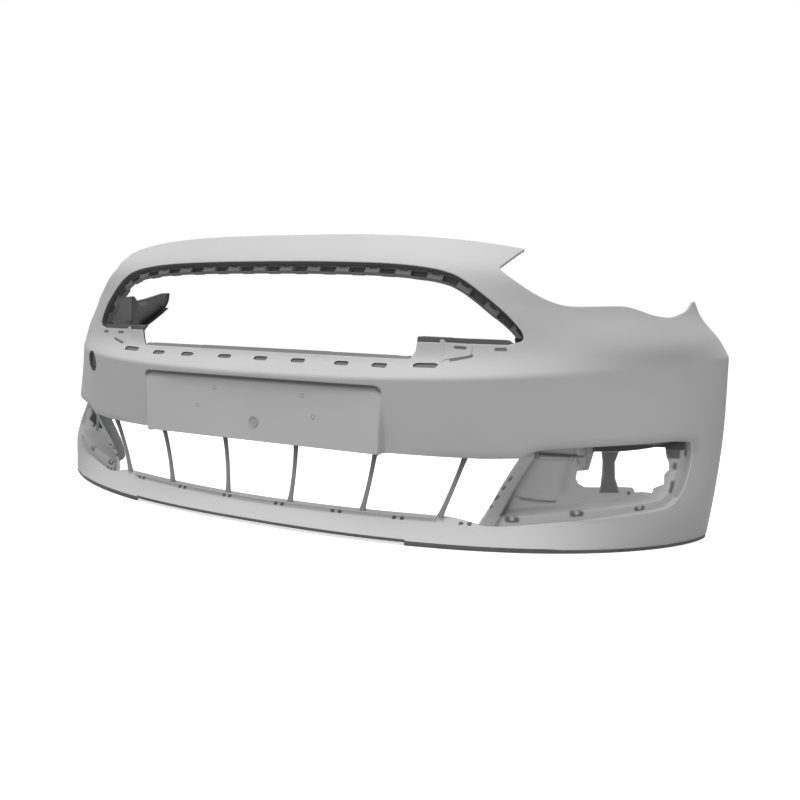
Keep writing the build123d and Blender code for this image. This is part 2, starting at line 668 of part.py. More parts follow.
def top_flange():
    """Flange behind the bonnet edge, with its screw holes."""
    us = spread(-TOP_FLANGE_REACH, TOP_FLANGE_REACH, 31)
    edge = [skin(u, BONNET, WALL + SEAT_GAP) for u in us]
    far_edge = [point + Vector(0, TOP_FLANGE, -TOP_FLANGE_FALL) for point in edge]
    flange = ribbon(edge, far_edge, FLANGE_WALL, (0, 0, -1))
    for x in TOP_SCREW_XS:
        y = rail_point(RAILS[BONNET], u_at(BONNET, x)).Y + TOP_SCREW_SETBACK
        flange -= Pos(x, y, RAILS[BONNET].height) * Cylinder(TOP_SCREW_DIAMETER / 2, 120)
    return flange


def arch_flange():
    """Flange turned in along the wheel arch, with its screw holes."""
    edge = [skin(1.0, level) + Vector(-WALL - ARCH_GAP, -0.5, 0)
            for level in spread(*ARCH_FLANGE_LEVELS, 41)]
    far_edge = [point + Vector(-ARCH_FLANGE, -ARCH_FLANGE_LEAN, 0) for point in edge]
    flange = ribbon(edge, far_edge, FLANGE_WALL, (0, -1, 0))
    for level in ARCH_SCREW_LEVELS:
        place = skin(1.0, level)
        bore = Pos(place.X - ARCH_SCREW_INSET, place.Y, place.Z) * Rot(90, 0, 0)
        flange -= bore * Cylinder(ARCH_SCREW_DIAMETER / 2, 60)
    return flange


def lamp_flange():
    """Flange turned in under the headlamp cut-out."""
    run = [point for point in LAMP_EDGE if LAMP_FLANGE_RUN[0] < point[0] < LAMP_FLANGE_RUN[1]]
    outer_drop, inner_drop = LAMP_FLANGE_DROPS
    edge = [skin(u, level, WALL + SEAT_GAP) - Vector(0, 0, outer_drop) for u, level in run]
    far_edge = [skin(u, level, WALL + LAMP_FLANGE) - Vector(0, 0, inner_drop) for u, level in run]
    return ribbon(edge, far_edge, FLANGE_WALL, (0, 0, -1))


def build():
    nodes = {}
    nodes["nose_strip"] = nose_strip()
    nodes["beam_panel"] = beam_panel()
    nodes["plate_panel"] = plate_panel()
    nodes["lower_lip"] = lower_lip()
    nodes["grille_rim"] = grille_rim()
    nodes["beam_flange"] = beam_flange()
    nodes["intake_ledge"] = intake_ledge()
    nodes["lip_strip_centre"] = strip_centre()
    nodes["undertray_flange"] = undertray_flange()
    nodes["top_flange"] = top_flange()
    for index in range(6):
        nodes[f"tie_bar_{index + 1}"] = tie_bar(index)
    wing = wing_left()
    pairs = {
        "wing": wing,
        "grille_clip_plate": clip_plate(),
        "headlamp_bracket": lamp_bracket(wing),
        "fog_pocket": fog_pocket(),
        "fog_lamp_bracket": fog_bracket(),
        "lip_strip": strip_left(),
        "arch_flange": arch_flange(),
        "headlamp_flange": lamp_flange(),
    }
    for name, shape in pairs.items():
        nodes[f"{name}_left"] = shape
        nodes[f"{name}_right"] = mirror_x(shape)
    nodes["wing_right"] -= tow_eye_bore()
    return nodes


def write(nodes):
    os.makedirs("parts", exist_ok=True)
    for name, shape in nodes.items():
        placed = shape.moved(Location((0, -DEPTH_CENTRE, 0)))
        placed.label = name
        export_step(placed, f"parts/{name}.step")


write(build())
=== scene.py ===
# %% [markdown]
# # A primed front bumper cover, dressed in Blender
#
# A bumper cover is one thin moulding, 1.8 m wide, with openings for the grille, the lamps and the
# cooling air. It could be sculpted by hand, or cut out of a solid with booleans. Here one formula
# gives the whole skin, which is worked out with numpy arrays, trimmed to its openings and given a
# wall: an edge then moves when its outline does, and stays smooth. The packed model is the frame of
# the scene. Lengths inside the formulas are millimetres; every mesh is written in metres.

import bpy
import numpy as np
from mathutils import Matrix


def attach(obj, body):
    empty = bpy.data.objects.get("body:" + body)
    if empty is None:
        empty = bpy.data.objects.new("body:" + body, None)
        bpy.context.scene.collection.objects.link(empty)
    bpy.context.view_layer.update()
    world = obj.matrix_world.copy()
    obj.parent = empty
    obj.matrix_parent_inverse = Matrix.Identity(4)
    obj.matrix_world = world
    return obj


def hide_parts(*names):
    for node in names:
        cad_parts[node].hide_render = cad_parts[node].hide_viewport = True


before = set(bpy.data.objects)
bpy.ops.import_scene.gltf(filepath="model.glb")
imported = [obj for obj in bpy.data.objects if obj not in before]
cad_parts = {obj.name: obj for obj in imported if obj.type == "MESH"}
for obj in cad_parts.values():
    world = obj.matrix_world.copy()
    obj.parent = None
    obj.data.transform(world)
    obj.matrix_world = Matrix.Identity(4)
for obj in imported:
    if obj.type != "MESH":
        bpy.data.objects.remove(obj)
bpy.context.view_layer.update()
M = 0.001                  # metres in a millimetre
DEPTH_CENTRE = 298.0       # y of the cover's middle in the formulas, which lies on the origin

# %% [markdown]
# ## The outer surface
#
# The real skin is a few large panels that flow into each other, with one hard crease under the
# headlamps. Patches of subdivision surface could follow it, but their edges would have to be nudged
# by hand. A lofted formula is chosen instead, because every other piece can then ask it for places.
# Eight rails run from wheel arch to wheel arch. With $a = |u|$, rail $r$ has
#
# $x = W u,\quad y = y_0 + S\,(1 - (1 - a^n)^{1/m}),\quad z = h + k\,a^p$
#
# and a Hermite curve climbs through the rails at each $u$, broken at the crease.

# %% Rails
RAILS = np.array([
    # nose, half width, sweep, round, corner, height, rise, lift
    (-8, 866, 394, 2.46, 1.54, 6, 0, 3.0),
    (24, 874, 389, 1.86, 2.17, 52, 13, 2.8),
    (12, 885, 452, 2.91, 1.60, 177, 11, 3.8),
    (-18, 886, 562, 3.60, 1.20, 321, 47, 2.2),
    (22, 862, 566, 3.50, 1.74, 351, 53, 2.2),
    (12, 814, 600, 3.00, 2.00, 468, -6, 2.0),
    (54, 800, 552, 4.20, 1.60, 553, -55, 2.64),
    (104, 798, 508, 2.84, 2.32, 612, -113, 3.1),
])
CREASE = 3                 # rail at which the section breaks
GRILLE_TOP = 6             # rail over the grille opening
CREASE_ROUND = 7.0         # reach of the crease's rounding to either side


def rail_points(u):
    """Places on all eight rails, shape (8, n, 3): x = W u, y = y0 + S d, z = h + k a^p."""
    a = np.minimum(np.abs(u), 1.0)[None, :]
    nose, half, sweep, bend, corner, height, rise, lift = (column[:, None] for column in RAILS.T)
    depth = 1 - np.maximum(1 - a ** bend, 0.0) ** (1 / corner)
    return np.stack([half * u[None, :], nose + sweep * depth, height + rise * a ** lift], -1)


print("ends of the crease", rail_points(np.array([-1.0, 1.0]))[CREASE].round(1).tolist())


# %% The surface through the rails
def unit(v):
    """v / |v| along the last axis, a vector of length 1."""
    return v / np.maximum(np.linalg.norm(v, axis=-1, keepdims=True), 1e-12)


def sharp_skin(u, level):
    """Hermite curve p(f) = h00 p0 + h10 L t0 + h01 p1 + h11 L t1 between neighbouring rails."""
    rails = rail_points(u)
    steps = rails[1:] - rails[:-1]
    length = np.linalg.norm(steps, axis=-1, keepdims=True)
    way = unit(steps)
    weighted = (way[:-1] * length[1:] + way[1:] * length[:-1]) / (length[:-1] + length[1:])
    arriving = np.concatenate([way[:1], weighted, way[-1:]])
    j = GRILLE_TOP
    arriving[j] = (way[j - 1] * length[j - 1] + way[j] * length[j]) / (length[j - 1] + length[j])
    leaving = arriving.copy()
    arriving[CREASE] = way[CREASE - 1]
    leaving[CREASE] = way[CREASE]
    i = np.clip(level.astype(int), 0, len(RAILS) - 2)
    k = np.arange(len(u))
    f = (level - i)[:, None]
    chord = length[i, k]
    return ((2 * f ** 3 - 3 * f ** 2 + 1) * rails[i, k] + (3 * f ** 2 - 2 * f ** 3) * rails[i + 1, k]
            + chord * (f ** 3 - 2 * f ** 2 + f) * leaving[i, k]
            + chord * (f ** 3 - f ** 2) * arriving[i + 1, k])


print("middle of the beam", sharp_skin(np.array([0.0]), np.array([2.5])).round(1).tolist())


# %% The rounded crease and the normal
def skin(u, level):
    """The surface with its crease rounded by p(f) = (1-f)^2 a + 2f(1-f) c + f^2 b."""
    u, level = np.broadcast_arrays(np.asarray(u, float), np.asarray(level, float))
    shape = u.shape
    u, level = u.ravel(), level.ravel()
    at = np.full_like(u, CREASE)
    edge = sharp_skin(u, at)
    start = CREASE - CREASE_ROUND / np.linalg.norm(edge - sharp_skin(u, at - 1), axis=-1)
    end = CREASE + CREASE_ROUND / np.linalg.norm(edge - sharp_skin(u, at + 1), axis=-1)
    f = np.clip((level - start) / (end - start), 0, 1)[:, None]
    bent = (1 - f) ** 2 * sharp_skin(u, start) + 2 * f * (1 - f) * edge + f ** 2 * sharp_skin(u, end)
    near = ((level > start) & (level < end))[:, None]
    return np.where(near, bent, sharp_skin(u, level)).reshape(shape + (3,))


def outward(u, level, step=1e-3):
    """Unit normal n = (dp/du x dp/dlevel) / |...|, turned to the front."""
    u, level = np.broadcast_arrays(np.asarray(u, float), np.asarray(level, float))
    u = np.clip(u, -1 + 2 * step, 1 - 2 * step)
    level = np.clip(level, step, len(RAILS) - 1 - step)
    along = skin(u + step, level) - skin(u - step, level)
    up = skin(u, level + step) - skin(u, level - step)
    return unit(np.cross(along, up))


print("normal in the middle of the beam", outward(0.0, 2.5).round(3).tolist())

# %% [markdown]
# ## Outlines and distances
#
# The moulding's openings are cut by the tool's own inserts, so their edges are clean curves. They
# could be drawn as Blender curves and projected. Plain rows of points with a distance function are
# chosen, because a distance also gives slots, walls, coats and soft steps. The signed distance to a
# closed row of points, negative inside, is
#
# $d(q) = \pm \min_k |q - (a_k + t_k (b_k - a_k))|$ with $t_k$ clipped to $[0, 1]$.

# %% Curves, outlines and distances
def curve(points, per=8):
    """Catmull-Rom curve through points, q = 0.5 (2b + (c-a)t + (2a-5b+4c-d)t^2 + (3b-a-3c+d)t^3)."""
    p = np.asarray(points, float)
    p = np.concatenate([2 * p[:1] - p[1:2], p, 2 * p[-1:] - p[-2:-1]])
    t = (np.arange(per) / per)[None, :, None]
    a, b, c, d = (p[k:len(p) - 3 + k, None, :] for k in range(4))
    q = 0.5 * (2 * b + (c - a) * t + (2 * a - 5 * b + 4 * c - d) * t ** 2
               + (3 * b - a - 3 * c + d) * t ** 3)
    return np.concatenate([q.reshape(-1, p.shape[1]), p[-2:-1]])


def outline_distance(q, outline):
    """Signed distance of points q (n, 2) to a closed outline (m, 2), negative inside."""
    a = np.asarray(outline, float)
    b = np.roll(a, -1, 0)
    best = np.full(len(q), np.inf)
    inside = np.zeros(len(q), bool)
    for start in range(0, len(q), 4000):
        part = q[start:start + 4000, None, :]
        ab = (b - a)[None]
        t = np.clip(((part - a) * ab).sum(-1) / np.maximum((ab ** 2).sum(-1), 1e-12), 0, 1)
        gap = np.linalg.norm(part - a - ab * t[..., None], axis=-1)
        best[start:start + 4000] = gap.min(1)
        y, ay, by = part[..., 1], a[None, :, 1], b[None, :, 1]
        crossing = (ay > y) != (by > y)
        slope = (b[None, :, 0] - a[None, :, 0]) / np.where(by == ay, 1e-12, by - ay)
        hit = part[..., 0] < a[None, :, 0] + slope * (y - ay)
        inside[start:start + 4000] = (crossing & hit).sum(1) % 2 == 1
    return np.where(inside, -best, best)


def smoothstep(x):
    """s = x^2 (3 - 2x) for x clipped to [0, 1]."""
    x = np.clip(x, 0, 1)
    return x * x * (3 - 2 * x)


def mirrored(half):
    """A left half outline, from the middle outwards and back, closed by its mirror image."""
    half = np.asarray(half, float)
    return np.concatenate([half, (half * (-1, 1))[::-1]])


unit_square = np.array([(0, 0), (1, 0), (1, 1), (0, 1)])
print("distance at the middle of a unit square", outline_distance(np.array([[0.5, 0.5]]), unit_square))

# %% [markdown]
# ## The cover's openings
#
# The upper opening takes the grille, the lower one lets air in and runs on at both ends into the
# fog-lamp pockets, and the headlamps stand in two cut-outs. Each outline could be a single spline,
# but the real ones mix straight runs, arcs and corners, so each is made of short named stretches.
# Outlines on the front are rows of $(x, z)$. Those on the bent ends are $(u, level)$, which keeps them
# on the surface.

# %% The upper opening and the headlamp cut-outs
GRILLE_ARCH = curve([(0, 554), (140, 553), (275, 549), (360, 541), (406, 531), (432, 519), (460, 500),
                     (509, 460), (541, 425), (548, 410)])
GRILLE_TURN = curve([(548, 410), (547, 403), (541, 399), (534, 397)], 4)
GRILLE_SILL = np.array([(520, 394), (352, 394), (350.5, 377), (340, 361), (0, 361)])
GRILLE = mirrored(np.concatenate([GRILLE_ARCH, GRILLE_TURN[1:], GRILLE_SILL]))

LAMP_EDGE = np.array([
    (0.648, 6.95), (0.635, 6.53), (0.618, 6.11), (0.620, 5.99), (0.643, 5.77), (0.684, 5.44),
    (0.722, 5.20), (0.761, 5.08), (0.820, 5.12), (0.869, 5.17), (0.896, 5.04), (0.921, 4.90),
    (0.947, 4.85), (0.969, 4.95), (0.987, 5.21), (0.999, 5.80)])


def from_outboard(p):
    """Place seen from 45 degrees outboard: across t = (|x| + y) / sqrt 2, height z."""
    return np.stack([(np.abs(p[..., 0]) + p[..., 1]) / np.sqrt(2), p[..., 2]], -1)


lamp_line = curve(from_outboard(skin(LAMP_EDGE[:, 0], LAMP_EDGE[:, 1])), 6)
FAR_UP = 300               # the cut-outs are closed this high, well over the cover
PAST_ARCH = 120            # and run this far past the wheel arch
LAMP_CUT = np.concatenate([[lamp_line[0] + (4, FAR_UP), lamp_line[0] + (4, 2)], lamp_line[1:-1],
                           [lamp_line[-1] + (PAST_ARCH, 6), lamp_line[-1] + (PAST_ARCH, FAR_UP)]])
print("upper opening", np.ptp(GRILLE, 0), "mm, lamp cut-out from", lamp_line[0].round(), "to",
      lamp_line[-1].round())

# %% The lower opening and the plate field
INTAKE_END = [(0.627, 2.02), (0.663, 2.12), (0.76, 2.15), (0.88, 2.15), (0.928, 2.13), (0.945, 2.06),
              (0.947, 1.71), (0.938, 1.34), (0.915, 1.15), (0.865, 1.10), (0.789, 1.04), (0.711, 0.96),
              (0.647, 0.85), (0.595, 0.76)]
LIP_DIP = [(0.555, 0.75), (0.52, 0.87), (0.475, 0.98), (0.43, 1.0)]
INTAKE = mirrored(np.concatenate([[(0, 2.0), (0.55, 2.0)], curve(INTAKE_END + LIP_DIP, 5),
                                  [(0.40, 1.0), (0, 1.0)]]))
PLATE_HALF, PLATE_TOP = 299, 308
PLATE_FOOT_HALF, PLATE_FOOT = 293, 100
PLATE_CORNER = 15.0
turn_angle = np.radians(np.linspace(90, 0, 7))
corner_arc = np.stack([PLATE_HALF - PLATE_CORNER * (1 - np.cos(turn_angle)),
                       PLATE_TOP - PLATE_CORNER * (1 - np.sin(turn_angle))], -1)
PLATE = mirrored(np.concatenate([[(0, PLATE_TOP)], corner_arc,
                                 [(PLATE_FOOT_HALF, PLATE_FOOT), (0, PLATE_FOOT)]]))


def chart(u, level):
    """Flat chart of the skin for distances: (W u, height of the rails in the middle)."""
    return np.stack([RAILS[0, 1] * u, np.interp(level, np.arange(len(RAILS)), RAILS[:, 5])], -1)


print("plate field", np.ptp(PLATE, 0), "mm, lower opening", len(INTAKE), "points")

# %% [markdown]
# ## Trimming a sheet
#
# An opening's edge should be as smooth as its outline. Deleting whole faces would leave stairs, and a
# boolean on a bent sheet leaves slivers, so each cell is cut exactly. A sheet is a grid over
# $(u, level)$ with a field $f$, positive where material is. Each cell is cut along $f = 0$ by its case
# of the sixteen sign patterns; a crossing lies at $t = f_0 / (f_0 - f_1)$ along its cell edge, and the
# surface is worked out afresh there.

# %% The sixteen cases
TINY = 1e-6                # field values this near 0 count as material
CASES = {}
for case in range(1, 16):
    corners = [(case >> k) & 1 for k in range(4)]
    ring = []
    for k in range(4):
        if corners[k]:
            ring.append(k)
        if corners[k] != corners[(k + 1) % 4]:
            ring.append(4 + k)
    CASES[case] = ring
print(len(CASES), "cases, the first keeps", CASES[1])


# %% Cutting a grid along a field
def trim(us, levels, field):
    """Vertices (u, level) and faces of the part of a grid where field(u, level) > 0."""
    rows, columns = len(levels), len(us)
    u, level = np.meshgrid(us, levels)
    f = field(u.ravel(), level.ravel()).reshape(rows, columns)
    f = np.where(np.abs(f) < TINY, TINY, f)
    index = np.arange(rows * columns).reshape(rows, columns)

    def between(first, second):
        """Crossing t = f0 / (f0 - f1) on the edges from first to second, kept off their ends."""
        t = np.clip(f[first] / np.where(f[first] == f[second], 1.0, f[first] - f[second]), 0.02, 0.98)
        return np.stack([u[first] + (u[second] - u[first]) * t,
                         level[first] + (level[second] - level[first]) * t], -1)

    across = between(np.s_[:, :-1], np.s_[:, 1:])
    upward = between(np.s_[:-1, :], np.s_[1:, :])
    base_a = rows * columns
    base_u = base_a + rows * (columns - 1)
    id_across = base_a + np.arange(rows * (columns - 1)).reshape(rows, columns - 1)
    id_upward = base_u + np.arange((rows - 1) * columns).reshape(rows - 1, columns)
    places = np.concatenate([np.stack([u, level], -1).reshape(-1, 2), across.reshape(-1, 2),
                             upward.reshape(-1, 2)])
    inside = f > 0
    code = (inside[:-1, :-1] * 1 + inside[:-1, 1:] * 2 + inside[1:, 1:] * 4 + inside[1:, :-1] * 8)
    names = [index[:-1, :-1], index[:-1, 1:], index[1:, 1:], index[1:, :-1],
             id_across[:-1], id_upward[:, 1:], id_across[1:], id_upward[:, :-1]]
    faces = []
    for case, ring in CASES.items():
        here = code == case
        if here.any():
            faces.append(np.stack([names[k][here] for k in ring], -1))
    used = np.unique(np.concatenate([part.ravel() for part in faces]))
    renumber = np.zeros(len(places), int)
    renumber[used] = np.arange(len(used))
    return places[used], [renumber[part] for part in faces]


disc = trim(np.arange(4.0), np.arange(4.0), lambda u, level: 1.5 - np.hypot(u, level))
print("a quarter disc keeps", len(disc[0]), "vertices in", sum(len(part) for part in disc[1]), "faces")

# %% [markdown]
# ## Edges and walls
#
# A moulding has a wall of 2 to 3 mm, edges rounded by the tool and a return that stiffens each
# opening. Solidify and Bevel could add them, but not a different return for each kind of edge. So the
# open edges are found and carried along a profile, and the wall is the sheet's own copy, moved along
# its normals.

# %% Finding and extruding open edges
def open_edges(faces):
    """Directed edges (i, j) that only one face has, in that face's turning sense."""
    pairs = np.concatenate([np.stack([part, np.roll(part, -1, 1)], -1).reshape(-1, 2) for part in faces])
    low, high = pairs.min(1), pairs.max(1)
    key = low.astype(np.int64) * (pairs.max() + 1) + high
    _, first, count = np.unique(key, return_index=True, return_counts=True)
    return pairs[first[count == 1]]


def edge_directions(points, normals, edges):
    """Unit direction from each open edge's vertices away from the sheet: t x n, averaged."""
    away = unit(np.cross(points[edges[:, 1]] - points[edges[:, 0]],
                         normals[edges[:, 0]] + normals[edges[:, 1]]))
    total = np.zeros_like(points)
    np.add.at(total, edges[:, 0], away)
    np.add.at(total, edges[:, 1], away)
    return unit(total)


def add_rim(points, normals, faces, profile):
    """Extrudes the open edges: step s is p + out_s d - in_s n, (out, in) from profile(ids).

    Returns all points, the new faces ring by ring and the vertex at which each edge starts."""
    edges = open_edges(faces)
    ids = np.unique(edges)
    d = edge_directions(points, normals, edges)[ids]
    n = normals[ids]
    steps = profile(ids)
    rings = [ids]
    more_points = [points]
    count = len(points)
    for s in range(steps.shape[1]):
        more_points.append(points[ids] + steps[:, s, :1] * d - steps[:, s, 1:] * n)
        rings.append(np.arange(count, count + len(ids)))
        count += len(ids)
    place = np.zeros(len(points), int)
    place[ids] = np.arange(len(ids))
    new = [np.stack([ring[place[edges[:, 1]]], ring[place[edges[:, 0]]],
                     after[place[edges[:, 0]]], after[place[edges[:, 1]]]], -1)
           for ring, after in zip(rings, rings[1:])]
    return np.concatenate(more_points), new, edges[:, 0]


print("a square has", len(open_edges([np.array([[0, 1, 2, 3]])])), "open edges")


# %% Normals and walls
def vertex_normals(points, faces):
    """Area-weighted sum of (c - a) x (d - b) over the faces round each vertex, made unit."""
    total = np.zeros_like(points)
    for part in faces:
        k = part.shape[1]
        normal = np.cross(points[part[:, k // 2]] - points[part[:, 0]],
                          points[part[:, -1]] - points[part[:, 1]])
        np.add.at(total, part.ravel(), np.repeat(normal, k, 0))
    return unit(total)


def turned(faces):
    """Faces with their corners in the opposite order, so that they look the other way."""
    return [part[:, ::-1] for part in faces]


def facing(way, points, faces):
    """Faces and normals, both turned over if the normals' dot products with way add up below 0."""
    normals = vertex_normals(points, faces)
    if (normals * way).sum() < 0:
        return turned(faces), -normals
    return faces, normals


def with_wall(points, faces, wall):
    """Closed shell: the sheet, its copy at p - wall n turned over, and a band round every edge."""
    count = len(points)
    inner = points - vertex_normals(points, faces) * wall
    edges = open_edges(faces)
    band = np.stack([edges[:, 1], edges[:, 0], edges[:, 0] + count, edges[:, 1] + count], -1)
    inner_faces = [part + count for part in turned(faces)]
    return np.concatenate([points, inner]), faces + [band], inner_faces


square = np.array([(0, 0, 0), (1, 0, 0), (1, 0, 1), (0, 0, 1.0)])
shell, outer, inner = with_wall(square, [np.array([[0, 1, 2, 3]])], 0.1)
print("a square sheet becomes a shell of", len(shell), "vertices and",
      sum(len(part) for part in outer + inner), "faces")

# %% [markdown]
# ## From arrays to a Blender object
#
# Each moulded part becomes one mesh object. Adding vertices one by one would be slow on a skin with
# tens of thousands, so whole arrays go in with foreach_set. Every piece sits at the origin and rides on
# the cover's one body. A left piece and its mirror image share their arrays, with the faces turned.

# %% Meshes
FLAT_ANGLE = 0.7           # edges bent by more than this, in radians, stay sharp


def make_mesh(name, points, groups, materials, shares=None):
    """Mesh object from points in millimetres and (faces, material index) groups.

    Shares are attributes from 0 to 1 of the first points: painted shade and painted light."""
    mesh = bpy.data.meshes.new(name)
    parts = [(part, slot) for faces, slot in groups for part in faces if len(part)]
    loops = np.concatenate([part.ravel() for part, _ in parts])
    sizes = np.concatenate([np.full(len(part), part.shape[1]) for part, _ in parts])
    slots = np.concatenate([np.full(len(part), slot) for part, slot in parts])
    mesh.vertices.add(len(points))
    mesh.vertices.foreach_set("co", ((np.asarray(points) - (0, DEPTH_CENTRE, 0)) * M).ravel())
    mesh.loops.add(len(loops))
    mesh.loops.foreach_set("vertex_index", loops)
    mesh.polygons.add(len(sizes))
    mesh.polygons.foreach_set("loop_start", np.concatenate([[0], np.cumsum(sizes)[:-1]]))
    mesh.polygons.foreach_set("loop_total", sizes)
    mesh.polygons.foreach_set("material_index", slots)
    mesh.update(calc_edges=True)
    mesh.validate()
    for key, share in (shares or {}).items():
        padded = np.pad(share, (0, len(points) - len(share))).astype(np.float32)
        mesh.attributes.new(key, "FLOAT", "POINT").data.foreach_set("value", padded)
    mesh.shade_smooth()
    mesh.set_sharp_from_angle(angle=FLAT_ANGLE)
    for material in materials:
        mesh.materials.append(material)
    thing = bpy.data.objects.new(name, mesh)
    bpy.context.scene.collection.objects.link(thing)
    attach(thing, "root")
    return thing


def make_pair(name, points, groups, materials, shares=None):
    """Left piece and its mirror image (x -> -x, faces turned), as a dictionary by side."""
    mirror = [(turned(faces), slot) for faces, slot in groups]
    return {"left": make_mesh(f"{name}_left", points, groups, materials, shares),
            "right": make_mesh(f"{name}_right", points * (-1, 1, 1), mirror, materials, shares)}


# %% [markdown]
# ## Materials
#
# The cover is sold in grey primer over dark plastic: matt, slightly cloudy, with fine orange peel and
# dust. Its back and strips are bare moulding or rubber, and its bars primer with painted shade at their
# upper ends. An image texture could be wrapped over it, but procedural noise on Object coordinates has no
# seams and keeps its scale on every piece. `Socket` lets shader maths read as formulas; `Graph.node`
# makes every other node.

# %% Shader maths as formulas
class Socket:
    """An output socket: its +, * and larger() add Math nodes, its mix() a colour Mix node."""

    def __init__(self, graph, socket):
        self.graph, self.socket = graph, socket

    def _math(self, operation, other):
        """Math node of this socket and a number or another socket."""
        node = self.graph.tree.nodes.new("ShaderNodeMath")
        node.operation = operation
        for place, value in zip(node.inputs, (self, other)):
            self.graph.feed(place, value)
        return Socket(self.graph, node.outputs[0])

    def __add__(self, other):
        """The sum of two values."""
        return self._math("ADD", other)

    __radd__ = __add__

    def __mul__(self, other):
        """The product of two values."""
        return self._math("MULTIPLY", other)

    __rmul__ = __mul__

    def larger(self, other):
        """The larger of two values."""
        return self._math("MAXIMUM", other)

    def mix(self, low, high):
        """Colour low (1 - s) + high s."""
        node = self.graph.tree.nodes.new("ShaderNodeMix")
        node.data_type = "RGBA"
        node.clamp_factor = True
        self.graph.feed(node.inputs[0], self)
        self.graph.feed(node.inputs[6], low)
        self.graph.feed(node.inputs[7], high)
        return Socket(self.graph, node.outputs[2])


print("a socket has", [name for name in vars(Socket) if not name.startswith("_")])


# %% One method for every other node
class Graph:
    """A node tree and the one method that adds nodes to it."""

    def __init__(self, tree):
        self.tree = tree

    def feed(self, place, value):
        """Links a socket to an input, or writes a number or a colour on it."""
        if isinstance(value, Socket):
            self.tree.links.new(value.socket, place)
        elif isinstance(value, tuple):
            place.default_value = (*value, 1) if len(place.default_value) == 4 else value
        else:
            place.default_value = value

    def node(self, kind, output=0, settings=None, **inputs):
        """Any node: its settings first, then its inputs; gives the output asked for."""
        made = self.tree.nodes.new(kind)
        for key, value in (settings or {}).items():
            setattr(made, key, value)
        for key, value in inputs.items():
            self.feed(made.inputs[key.replace("_", " ")], value)
        return Socket(self, made.outputs[output]) if made.outputs else made


print("a graph has", [name for name in vars(Graph) if not name.startswith("_")])


# %% A material with its shader
finishes = []


class Finish(Graph):
    """A material's node tree with a Principled shader."""

    def __init__(self, name, colour, roughness, specular=0.5):
        self.material = bpy.data.materials.new(name)
        self.material.use_nodes = True
        super().__init__(self.material.node_tree)
        self.shader = self.tree.nodes["Principled BSDF"]
        self.shader.inputs["Base Color"].default_value = (*colour, 1)
        self.shader.inputs["Roughness"].default_value = roughness
        self.shader.inputs["Specular IOR Level"].default_value = specular
        self.place = self.node("ShaderNodeTexCoord", output="Object")
        finishes.append(name)

    def noise(self, scale, detail=3.0, roughness=0.5):
        """Noise over Object coordinates, scale features a metre."""
        return self.node("ShaderNodeTexNoise", Vector=self.place, Scale=scale, Detail=detail,
                         Roughness=roughness)

    def ramp(self, value, low, high):
        """(value - low) / (high - low), clipped to 0 and 1."""
        return self.node("ShaderNodeMapRange", Value=value, From_Min=low, From_Max=high)

    def set(self, name, value):
        """Feeds one of the shader's own inputs."""
        self.feed(self.shader.inputs[name], value)
        return self

    def bump(self, height, strength, distance):
        """Bump of a height over the surface, its distance in metres."""
        normal = self.node("ShaderNodeBump", Height=height, Strength=strength, Distance=distance)
        return self.set("Normal", normal)


print("a finish has", [name for name in vars(Finish) if not name.startswith("_")])

# %% [markdown]
# ## The finishes
#
# Corners, returns and places under edges get painted shade, and the upward-facing lip painted light.
# Separate paints on separate faces would end in hard steps, so two attributes on the points, painted shade
# and painted light, fade one primer into near black or a brighter grey.

# %% Primer, plastic and bars
# Painted shade fades the primer into near black, and painted light into a light grey.
PAINTED_SHADE_COLOUR = (0.035, 0.035, 0.036)
PAINTED_LIGHT_COLOUR = (0.555, 0.555, 0.56)
# Heights over which painted shade darkens the bars towards the beam.
BAR_SHADE_START, BAR_SHADE_END = 0.118, 0.176              # heights in metres


def primer(name, light, dark, roughness):
    """Sprayed primer with orange peel: tone = light (1 - m) + dark m, m = 0.55 cloud + 0.25 dust."""
    g = Finish(name, light, roughness, 0.22)
    cloud = g.ramp(g.noise(3.2, 4.0, 0.55), 0.35, 0.65)
    speck = g.ramp(g.noise(900.0, 1.0), 0.62, 0.80)
    tone = (cloud * 0.55 + speck * 0.25).mix(light, dark)
    # Painted shade and painted light: two attributes mix the tone towards those two colours.
    bare = g.node("ShaderNodeAttribute", "Fac", {"attribute_name": "bare"})
    thick = g.node("ShaderNodeAttribute", "Fac", {"attribute_name": "thick"})
    g.set("Base Color", bare.mix(thick.mix(tone, PAINTED_LIGHT_COLOUR), PAINTED_SHADE_COLOUR))
    g.set("Roughness", g.ramp(g.noise(40.0, 2.0), 0.0, 1.0) * 0.10 + (roughness - 0.05))
    return g.bump(g.noise(260.0, 2.0), 0.06, 0.0004).material


def plastic(name, light, dark, roughness, grain=1400.0, strength=0.25):
    """Raw moulding with a leather-like grain: light (1 - cloud) + dark cloud, its shine varied."""
    g = Finish(name, light, roughness)
    cloud = g.ramp(g.noise(9.0, 4.0, 0.6), 0.35, 0.70)
    g.set("Base Color", cloud.mix(light, dark))
    g.set("Roughness", g.ramp(g.noise(70.0, 2.0), 0.2, 0.8) * 0.16 + (roughness - 0.08))
    cell = g.node("ShaderNodeTexVoronoi", Vector=g.place, Scale=grain)
    return g.bump(cell, strength, 0.0003).material


def bar_plastic(name, light, dark):
    """Primed bar, dark with painted shade near its upper end under the beam, grey below."""
    g = Finish(name, light, 0.6)
    height = g.node("ShaderNodeSeparateXYZ", output="Z", Vector=g.place)
    bare = g.ramp(height + g.noise(60.0) * 0.01, BAR_SHADE_START, BAR_SHADE_END)
    g.set("Base Color", bare.mix(light, dark))
    return g.bump(g.noise(500.0), 0.1, 0.0003).material


print("bare plastic", PAINTED_SHADE_COLOUR, "and thick coat", PAINTED_LIGHT_COLOUR)

